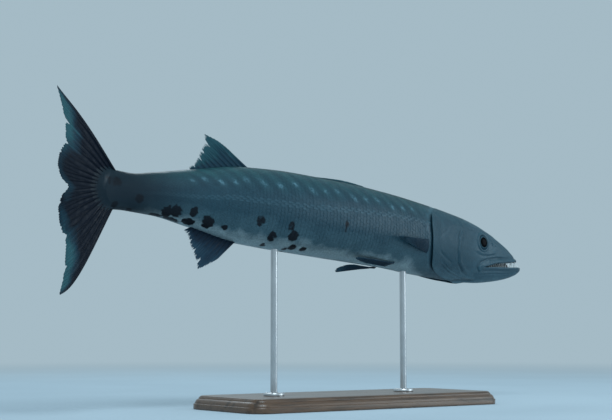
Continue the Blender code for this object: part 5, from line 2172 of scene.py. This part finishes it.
@dataclass
class TailFin(MedianFin):
    """The forked tail fin with its two rounded inner lobes."""

    bow: Point2 = (0.0190, 0.0400)
    root_reach: float = 0.97
    root_gap: float = 0.0006

    def root(self, across: Array) -> Array:
        """The root line across the stalk's end.

        Args:
            across: shares across the fin.

        Returns:
            Straight-frame points.
        """
        share = self.root_reach * (1 - 2 * across)
        station = self.shape.stalk_end - self.shape.stalk_hollow * share**2
        top, bottom = self.shape.back(station), self.shape.belly(station)
        height = (top + bottom) / 2 + (top - bottom) / 2 * share
        return self.shape.metres(station + self.root_gap, 0.0, height)

    def shaped(self, grid: Array, across: Array, along: Array) -> Array:
        """Bows the long outer rays of both lobes away from the middle.

        Args:
            grid: points from root to edge.
            across: shares across the fin, one for each column.
            along: shares from root to edge.

        Returns:
            The grid, bowed.
        """
        outer = np.abs(1 - 2 * across) ** 3 * np.sign(1 - 2 * across)
        bow = np.where(across < 0.5, *self.bow) * self.shape.length
        grid[..., 2] += np.sin(math.pi * along) * (bow * outer)[None]
        return grid

    def paleness(self, across: Array, along: Array) -> Array:
        """Pale at both lobes' tips and rear edges, dark over the middle and along the outer rays.

        Args:
            across: shares across the fin, one for each column.
            along: shares from root to edge, one for each row.

        Returns:
            Paleness, which may pass 1.
        """
        spread = np.abs(1 - 2 * across)
        rear = smooth_step((along - 0.42) / 0.58)
        lobe = 0.42 + 0.58 * smooth_step((spread - 0.25) / 0.5)
        lead = 1 - 0.55 * smooth_step((spread - 0.93) / 0.07)
        return rear * lobe * lead * 1.15


@dataclass
class PairedFin(RayedFin):
    """A fan-shaped fin on one side of the body.

    Slopes are in degrees, outwards and downwards, at the first and the last column. Inwards is the
    way into the flesh, for the left side.
    """

    fray: float = 0.0035
    rows: int = 36
    fleshy: float = 0.2
    flank: Flank = Flank.RIGHT
    lengths: tuple[Point2, ...] = ()
    outwards: Point2 = (8.0, 7.0)
    downwards: Point2 = (5.0, -7.0)
    inwards: Point3 = (0.25, -1.0, 0.0)
    root_bend: float = 0.003

    def root_place(self, across: Array) -> tuple[Array, Array, Array]:
        """Station, lateral place and height of the root line; each kind gives its own."""
        raise NotImplementedError

    def root(self, across: Array) -> Array:
        """The root line, close over the skin."""
        station, lateral, height = self.root_place(across)
        return self.shape.metres(station, self.flank.value * lateral, height)

    def buried(self, root: Array, edge: Array, depth: float) -> Array:
        """The root line bent round into the flesh.

        Args:
            root: the root line.
            edge: the outer edge.
            depth: metres into the flesh.

        Returns:
            Straight-frame points.
        """
        turned = np.array(self.inwards) * np.array([1.0, self.flank.value, 1.0])
        ray = (edge - root) / np.linalg.norm(edge - root, axis=-1, keepdims=True)
        bent = 1 - math.exp(-depth / self.root_bend)
        return root - ray * self.root_bend * bent + turned * (depth - self.root_bend / 2 * bent)

    def edge(self, across: Array) -> Array:
        """The tips of the rays.

        Args:
            across: shares across the fin.

        Returns:
            Straight-frame points.
        """
        station, lateral, height = self.root_place(across)
        reach = Curve(self.lengths)(across)
        out, down = (np.tan(np.radians(between(ends, across))) for ends in (self.outwards, self.downwards))
        lateral = self.flank.value * (lateral + reach * out + 0.003)
        return self.shape.metres(station + reach, lateral, height - reach * down)

    def facing(self, grid: Array) -> Array:
        """Unit normals of the grid."""
        normal = np.cross(np.gradient(grid, axis=0), np.gradient(grid, axis=1))
        return normal / np.linalg.norm(normal, axis=-1, keepdims=True)


@dataclass
class PectoralFin(PairedFin):
    """The fin behind the gill cover, whose root's first ray is at a (station, height)."""

    root_start: Point2 = (0.3345, -0.0090)
    root_run: Point2 = (-0.0020, -0.0245)
    off_skin: float = 0.0027

    def root_place(self, across: Array) -> tuple[Array, Array, Array]:
        """Station, lateral place and height of the root line, in shares of the standard length."""
        station, height = (a + run * across for a, run in zip(self.root_start, self.root_run))
        return station, self.shape.side_at(station, height) + self.off_skin, height

    def root(self, across: Array) -> Array:
        """The root line, with both ends deeper, so that a round lobe comes out of the flesh.

        Args:
            across: shares across the fin.

        Returns:
            Straight-frame points.
        """
        station, lateral, height = self.root_place(across)
        lateral = lateral - 0.0017 - 0.0022 * np.abs(2 * across - 1) ** 4
        return self.shape.metres(station, self.flank.value * lateral, height)


@dataclass
class PelvicFin(PairedFin):
    """The fin low on the belly, whose root's first ray is at a (station, lateral place)."""

    inwards: Point3 = (0.30, -0.25, 0.90)
    root_start: Point2 = (0.4045, 0.0265)
    root_run: Point2 = (0.0120, -0.0125)
    off_skin: float = 0.0030

    def root_place(self, across: Array) -> tuple[Array, Array, Array]:
        """Station, lateral place and height of the root line.

        Args:
            across: shares across the fin.

        Returns:
            The three, in shares of the standard length.
        """
        station, lateral = (a + run * across for a, run in zip(self.root_start, self.root_run))
        _, middle, bottom, width = self.shape.limits(station)
        power = self.shape.lower_squareness(station)
        depth = (1 - (lateral / width) ** power) ** (1 / power)
        return station, lateral, middle - (middle - bottom) * depth - self.off_skin


@dataclass
class FinSet:
    """All eight fins of the fish."""

    shape: FishShape
    pose: Pose

    def fins(self) -> list[RayedFin]:
        """The fins with their sizes and finishes.

        Returns:
            All eight, in the order they are built.
        """
        soft = FinFinish("soft_fin", root=(0.011, 0.036, 0.056), middle=(0.015, 0.060, 0.078))
        dark = FinFinish("anal_fin_membrane", root=(0.005, 0.016, 0.031), middle=(0.008, 0.027, 0.048),
                         edge=(0.019, 0.055, 0.085))
        tail = FinFinish("tail_membrane", root=(0.0015, 0.005, 0.012), middle=(0.008, 0.032, 0.050),
                         edge=(0.024, 0.094, 0.112))
        side = FinFinish("side_fin", root=(0.007, 0.024, 0.041), middle=(0.011, 0.034, 0.056),
                         edge=(0.026, 0.072, 0.104))
        common = (self.shape, self.pose)
        made: list[RayedFin] = [
            TailFin(*common, "tail_fin_rays", tail, rays=17, thickness=(0.0040, 0.00045), fray=0.0032,
                    rows=56, per_ray=13, seed=11, outline=(
                        (0.0, 1.1230, 0.1450), (0.06, 1.1060, 0.1200), (0.14, 1.0930, 0.0880),
                        (0.22, 1.0920, 0.0650), (0.31, 1.1140, 0.0360), (0.38, 1.1210, 0.0180),
                        (0.45, 1.1080, 0.0000), (0.50, 1.0830, -0.0140), (0.55, 1.1050, -0.0310),
                        (0.62, 1.1200, -0.0540), (0.70, 1.1140, -0.0760), (0.79, 1.0900, -0.1080),
                        (0.87, 1.0920, -0.1340), (0.94, 1.1010, -0.1650), (1.0, 1.1180, -0.1890),
                    ), tears=((0.118, 0.10), (0.235, 0.07), (0.59, 0.06), (0.76, 0.08), (0.90, 0.06))),
            MedianFin(*common, "dorsal_fin_second_rays", soft, rays=10, thickness=(0.0024, 0.00035),
                      fray=0.0048, rows=44, per_ray=13, seed=5, ridge=Ridge.BACK,
                      tears=((0.32, 0.12), (0.52, 0.16), (0.70, 0.14), (0.88, 0.12)),
                      root_span=(0.7150, 0.8280), outline=(
                          (0.0, 0.7600, 0.1095), (0.10, 0.7820, 0.1200), (0.20, 0.8055, 0.1262),
                          (0.32, 0.8030, 0.1120), (0.48, 0.8085, 0.0980), (0.68, 0.8140, 0.0840),
                          (0.86, 0.8210, 0.0690), (1.0, 0.8330, 0.0590))),
            MedianFin(*common, "anal_fin_rays", dark, rays=10, thickness=(0.0024, 0.00035), fray=0.0048,
                      rows=40, per_ray=13, seed=6, ridge=Ridge.BELLY,
                      tears=((0.34, 0.12), (0.55, 0.15), (0.75, 0.12)),
                      root_span=(0.7370, 0.8250), outline=(
                          (0.0, 0.7700, -0.0955), (0.12, 0.7900, -0.1085), (0.22, 0.8075, -0.1175),
                          (0.34, 0.8100, -0.1060), (0.50, 0.8160, -0.0920), (0.70, 0.8240, -0.0750),
                          (0.86, 0.8290, -0.0610), (1.0, 0.8370, -0.0520))),
            FoldedFin(*common, "dorsal_fin_first_rays", soft, rays=5, thickness=(0.0024, 0.0008),
                      fray=0.002, rows=20, ridge=Ridge.BACK, root_span=(0.4450, 0.5500)),
        ]
        pectoral = ((0.0, 0.088), (0.2, 0.097), (0.5, 0.094), (0.8, 0.076), (1.0, 0.050))
        pelvic = ((0.0, 0.093), (0.15, 0.095), (0.6, 0.075), (1.0, 0.047))
        slopes = {Flank.LEFT: ((2.0, 3.0), (12.5, -4.0)), Flank.RIGHT: ((4.0, -2.0), (1.0, 0.0))}
        for flank in Flank:
            end = flank.name.lower()
            made += [
                PectoralFin(*common, f"pectoral_fin_{end}_rays", side, rays=9, thickness=(0.0015, 0.00035),
                            seed=8, flank=flank, lengths=pectoral),
                PelvicFin(*common, f"pelvic_fin_{end}_rays", side, rays=6, thickness=(0.0016, 0.00035),
                          seed=9, flank=flank, lengths=pelvic, outwards=slopes[flank][0],
                          downwards=slopes[flank][1]),
            ]
        return made

    def build(self) -> list[Object]:
        """Builds every fin."""
        return [fin.build() for fin in self.fins()]


@dataclass
class DisplayStand:
    """A moulded wooden base and two round steel rods, each screwed down by its flange."""

    shape: FishShape
    pose: Pose
    size: Point3 = (0.52, 0.20, 0.022)
    corner: float = 0.030
    rods: tuple[tuple[str, float], ...] = (("front", 0.355), ("rear", 0.655))
    rod_radius: float = 0.0055
    flange_radius: float = 0.017
    flange_height: float = 0.005
    sunk: float = 0.014
    gap: float = 0.0003
    screw_circle: float = 0.0115
    screw_radius: float = 0.0024
    screw_head: float = 0.0011
    slot_width: float = 0.0007
    slot_depth: float = 0.0006
    sharp: float = 34.0
    moulding: tuple[Point2, ...] = (
        (0.0012, 0.0), (0.0, 0.0012), (0.0, 0.0080), (0.0006, 0.0090), (0.0020, 0.0096), (0.0022, 0.0108),
        (0.0034, 0.0136), (0.0056, 0.0158), (0.0082, 0.0172), (0.0086, 0.0186), (0.0096, 0.0198),
        (0.0108, 0.0206), (0.0116, 0.0216), (0.0132, 0.0220), (0.0400, 0.0220),
    )

    def foot(self, station: float) -> Array:
        """Where a rod meets the belly."""
        return self.pose.place(self.shape.metres(station, 0.0, float(self.shape.belly(station))))

    def outline(self, inset: float, centre: Array, steps: int = 16) -> list[Point2]:
        """The base's outline with rounded corners, drawn in by an inset.

        Args:
            inset: metres in from the edge.
            centre: the base's middle, seen from above.
            steps: spaces at each corner.

        Returns:
            Points seen from above.
        """
        points = []
        radius = max(self.corner - inset, 0.002)
        for sx, sy, start in ((1, 1, 0), (-1, 1, 90), (-1, -1, 180), (1, -1, 270)):
            for angle in np.radians(np.linspace(start, start + 90, steps + 1)):
                points.append((
                    centre[0] + sx * (self.size[0] / 2 - inset - radius) + radius * math.cos(angle),
                    centre[1] + sy * (self.size[1] / 2 - inset - radius) + radius * math.sin(angle),
                ))
        return points

    def build_base(self, look: Material) -> Object:
        """Builds the moulded base in the CAD base's place.

        Args:
            look: the wood.

        Returns:
            The finished piece.
        """
        low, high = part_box("stand_base")
        centre = np.array([(low.x + high.x) / 2, (low.y + high.y) / 2])
        grid = np.array([[(x, y, level) for x, y in self.outline(inset, centre)]
                         for inset, level in self.moulding])
        points = np.concatenate([grid.reshape(-1, 3), [[*centre, 0.0], [*centre, self.size[2]]]])
        maker = MeshMaker()
        maker.add(points, capped_faces(*grid.shape[:2]))
        piece = maker.build("stand_plinth", look, merge=1e-7, sharp=self.sharp)
        return hand_over(piece, "base", "stand_base")

    def build_rod(self, name: str, station: float, look: Material, segments: int = 64) -> Object:
        """Builds one rod with its flange.

        Args:
            name: front or rear.
            station: where it meets the fish.
            look: the steel.
            segments: points round it.

        Returns:
            The finished piece.
        """
        foot, turn = self.foot(station), turns_round(segments)
        low, high = self.size[2] + self.gap, foot[2] + self.sunk
        top = low + self.flange_height
        wide, slim = self.flange_radius, self.rod_radius
        radii, levels = np.array((
            (0.0, low), (wide - 0.0006, low), (wide, low + 0.0006), (wide, top - 0.0018),
            (wide - 0.0005, top - 0.0010), (wide - 0.0014, top - 0.0006), (slim + 0.0016, top - 0.0006),
            (slim + 0.0006, top - 0.0003), (slim, top + 0.0004), (slim, high - 0.0010),
            (slim - 0.0010, high), (0.0, high),
        )).T[..., None]
        maker = MeshMaker()
        maker.add_tube(np.stack(np.broadcast_arrays(
            foot[0] + radii * np.cos(turn), foot[1] + radii * np.sin(turn), levels), -1))
        piece = maker.build(f"rod_{name}", look, merge=1e-6, sharp=self.sharp)
        return hand_over(piece, "rod", f"stand_rod_{name}")

    def build_screws(self, look: Material) -> Object:
        """Builds the small domed screws in both flanges with Geometry Nodes.

        Args:
            look: the steel.

        Returns:
            The finished piece.
        """
        places, turns = [], []
        level = self.size[2] + self.gap + self.flange_height - 0.0006
        for k, (_, station) in enumerate(self.rods):
            foot = self.foot(station)
            for step in range(3):
                angle = math.radians(30 + 120 * step)
                places.append((foot[0] + self.screw_circle * math.cos(angle),
                               foot[1] + self.screw_circle * math.sin(angle), level))
                turns.append(0.9 * step + k)
        source = point_object("screw_places", np.array(places), {"turn": np.array(turns)})
        r = NodeRecipe("screw_recipe")
        radius, height = r.size("Screw radius", self.screw_radius), r.size("Head height", self.screw_head)
        wide, deep = r.size("Slot width", self.slot_width), r.size("Slot depth", self.slot_depth)
        ball = r.node("GeometryNodeMeshUVSphere", {"Segments": 20, "Rings": 12, "Radius": radius})
        squash = r.vector(1.0, 1.0, r.maths("DIVIDE", height, radius))
        head = r.node("GeometryNodeTransform", {"Geometry": ball.outputs["Mesh"], "Scale": squash})
        block = r.node("GeometryNodeMeshCube", {
            "Size": r.vector(r.times(radius, 3.0), wide, r.times(deep, 2.0)),
        })
        slot = r.node("GeometryNodeTransform", {
            "Geometry": block.outputs["Mesh"], "Translation": r.vector(z=height),
        })
        cut = r.node("GeometryNodeMeshBoolean", {0: head.outputs[0], 1: slot.outputs[0]},
                     operation="DIFFERENCE")
        laid = r.node("GeometryNodeInstanceOnPoints", {
            "Points": r.entry.outputs[0], "Instance": cut.outputs[0],
            "Rotation": r.vector(z=r.read("turn")),
        })
        mesh = r.run(source, laid.outputs[0], look)
        return hand_over(finished_object("flange_screws", mesh, look, self.sharp), "rod")

    def build(self, wood: Material, steel: Material) -> None:
        """Builds the base, the rods and their screws.

        Args:
            wood: the base's material.
            steel: the rods' material.
        """
        self.build_base(wood)
        for name, station in self.rods:
            self.build_rod(name, station, steel)
        self.build_screws(steel)


@dataclass
class Studio:
    """The camera at the photograph's angle, the pale floor and the soft lights."""

    pose: Pose
    elevation: float = 5.0
    azimuth: float = 36.4827
    offset: Point3 = (0.071, 2.541, -0.032)
    lens: float = 80.88
    sensor: float = 36.0
    floor_radius: float = 14.0
    world: Colour = (0.50, 0.66, 0.75)
    world_strength: float = 0.75
    tint: Colour = (0.80, 0.93, 1.0)
    lights: tuple[tuple[str, Point3, float, float], ...] = (
        # Name, place seen from the model's middle, size in metres and power in watts.
        ("key", (-0.7, -1.7, 2.1), 1.6, 50.0),
        ("fill", (1.9, -1.3, 0.5), 1.6, 15.0),
        ("rim", (0.6, 1.9, 1.6), 1.2, 15.0),
    )

    def add_camera(self) -> None:
        """Sets the camera where the photograph was taken from."""
        tilt, turn = math.radians(self.elevation), -math.radians(self.azimuth)
        middle = self.pose.shift + np.array([0.0, 0.0, self.pose.mid_height])
        away = np.array(self.offset) * self.pose.shape.length
        away = turn_matrix(2, turn) @ turn_matrix(0, tilt) @ away
        data = bpy.data.cameras.new("camera")
        data.lens, data.sensor_width = self.lens, self.sensor
        data.clip_start, data.clip_end = 0.05, 60.0
        camera = linked("camera", data)
        camera.location = middle - away
        camera.rotation_euler = (math.pi / 2 + tilt, 0.0, turn)
        bpy.context.scene.camera = camera

    def add_floor(self) -> None:
        """Adds the pale floor, which isn't part of the object."""
        shape = bmesh.new()
        bmesh.ops.create_circle(shape, cap_ends=True, segments=96, radius=self.floor_radius)
        mesh = bpy.data.meshes.new("floor")
        shape.to_mesh(mesh)
        shape.free()
        finished_object("floor", mesh, FloorFinish().make(), sharp=30.0)

    def add_lights(self) -> None:
        """Adds large soft lights, each aimed at the model, and a pale surround."""
        aim = Vector((0.0, 0.0, self.pose.mid_height))
        for name, place, size, power in self.lights:
            data = bpy.data.lights.new(name, "AREA")
            data.shape, data.size, data.energy, data.color = "DISK", size, power, self.tint
            lamp = linked(name, data)
            lamp.location = Vector(place) + aim
            lamp.rotation_euler = (-Vector(place)).to_track_quat("-Z", "Y").to_euler()
        world = bpy.data.worlds.new("surround")
        world.use_nodes = True
        light = world.node_tree.nodes["Background"]
        light.inputs["Color"].default_value = (*self.world, 1.0)
        light.inputs["Strength"].default_value = self.world_strength
        bpy.context.scene.world = world
        bpy.context.scene.view_settings.view_transform = "Standard"

    def build(self) -> None:
        """Builds camera, floor and lights."""
        self.add_camera()
        self.add_floor()
        self.add_lights()


def main() -> None:
    """Builds every sub-assembly over the frame."""
    logging.basicConfig(level=logging.INFO, format="%(name)s: %(message)s")
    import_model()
    shape = FishShape()
    low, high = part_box("stand_base")
    shift = np.array([(low.x + high.x) / 2 - STAND_AHEAD, (low.y + high.y) / 2, 0.0])
    pose = Pose(shape, shift)
    skin = FishSkin(shape, pose, HeadRelief(shape), Markings(shape))
    body_look = BodyFinish().make()
    skin.build(body_look)
    girth = Girth(shape)
    ScaleCoat(skin, girth, "scales_body", around=54, stations=(0.205, 1.016), pieces=4).build(body_look)
    ScaleCoat(skin, girth, "scales_head", around=92, stations=(0.160, 0.318), on_head=True, pieces=2,
              lift=0.05, sink=0.06, seed=19).build(body_look)
    eye_look = EyeFinish().make()
    for flank in Flank:
        Eye(shape, pose, flank).build(eye_look)
    Teeth(shape, pose).build(ToothFinish().make())
    FinSet(shape, pose).build()
    DisplayStand(shape, pose).build(WoodFinish().make(), SteelFinish().make())
    Studio(pose).build()


if __name__ == "__main__":
    main()
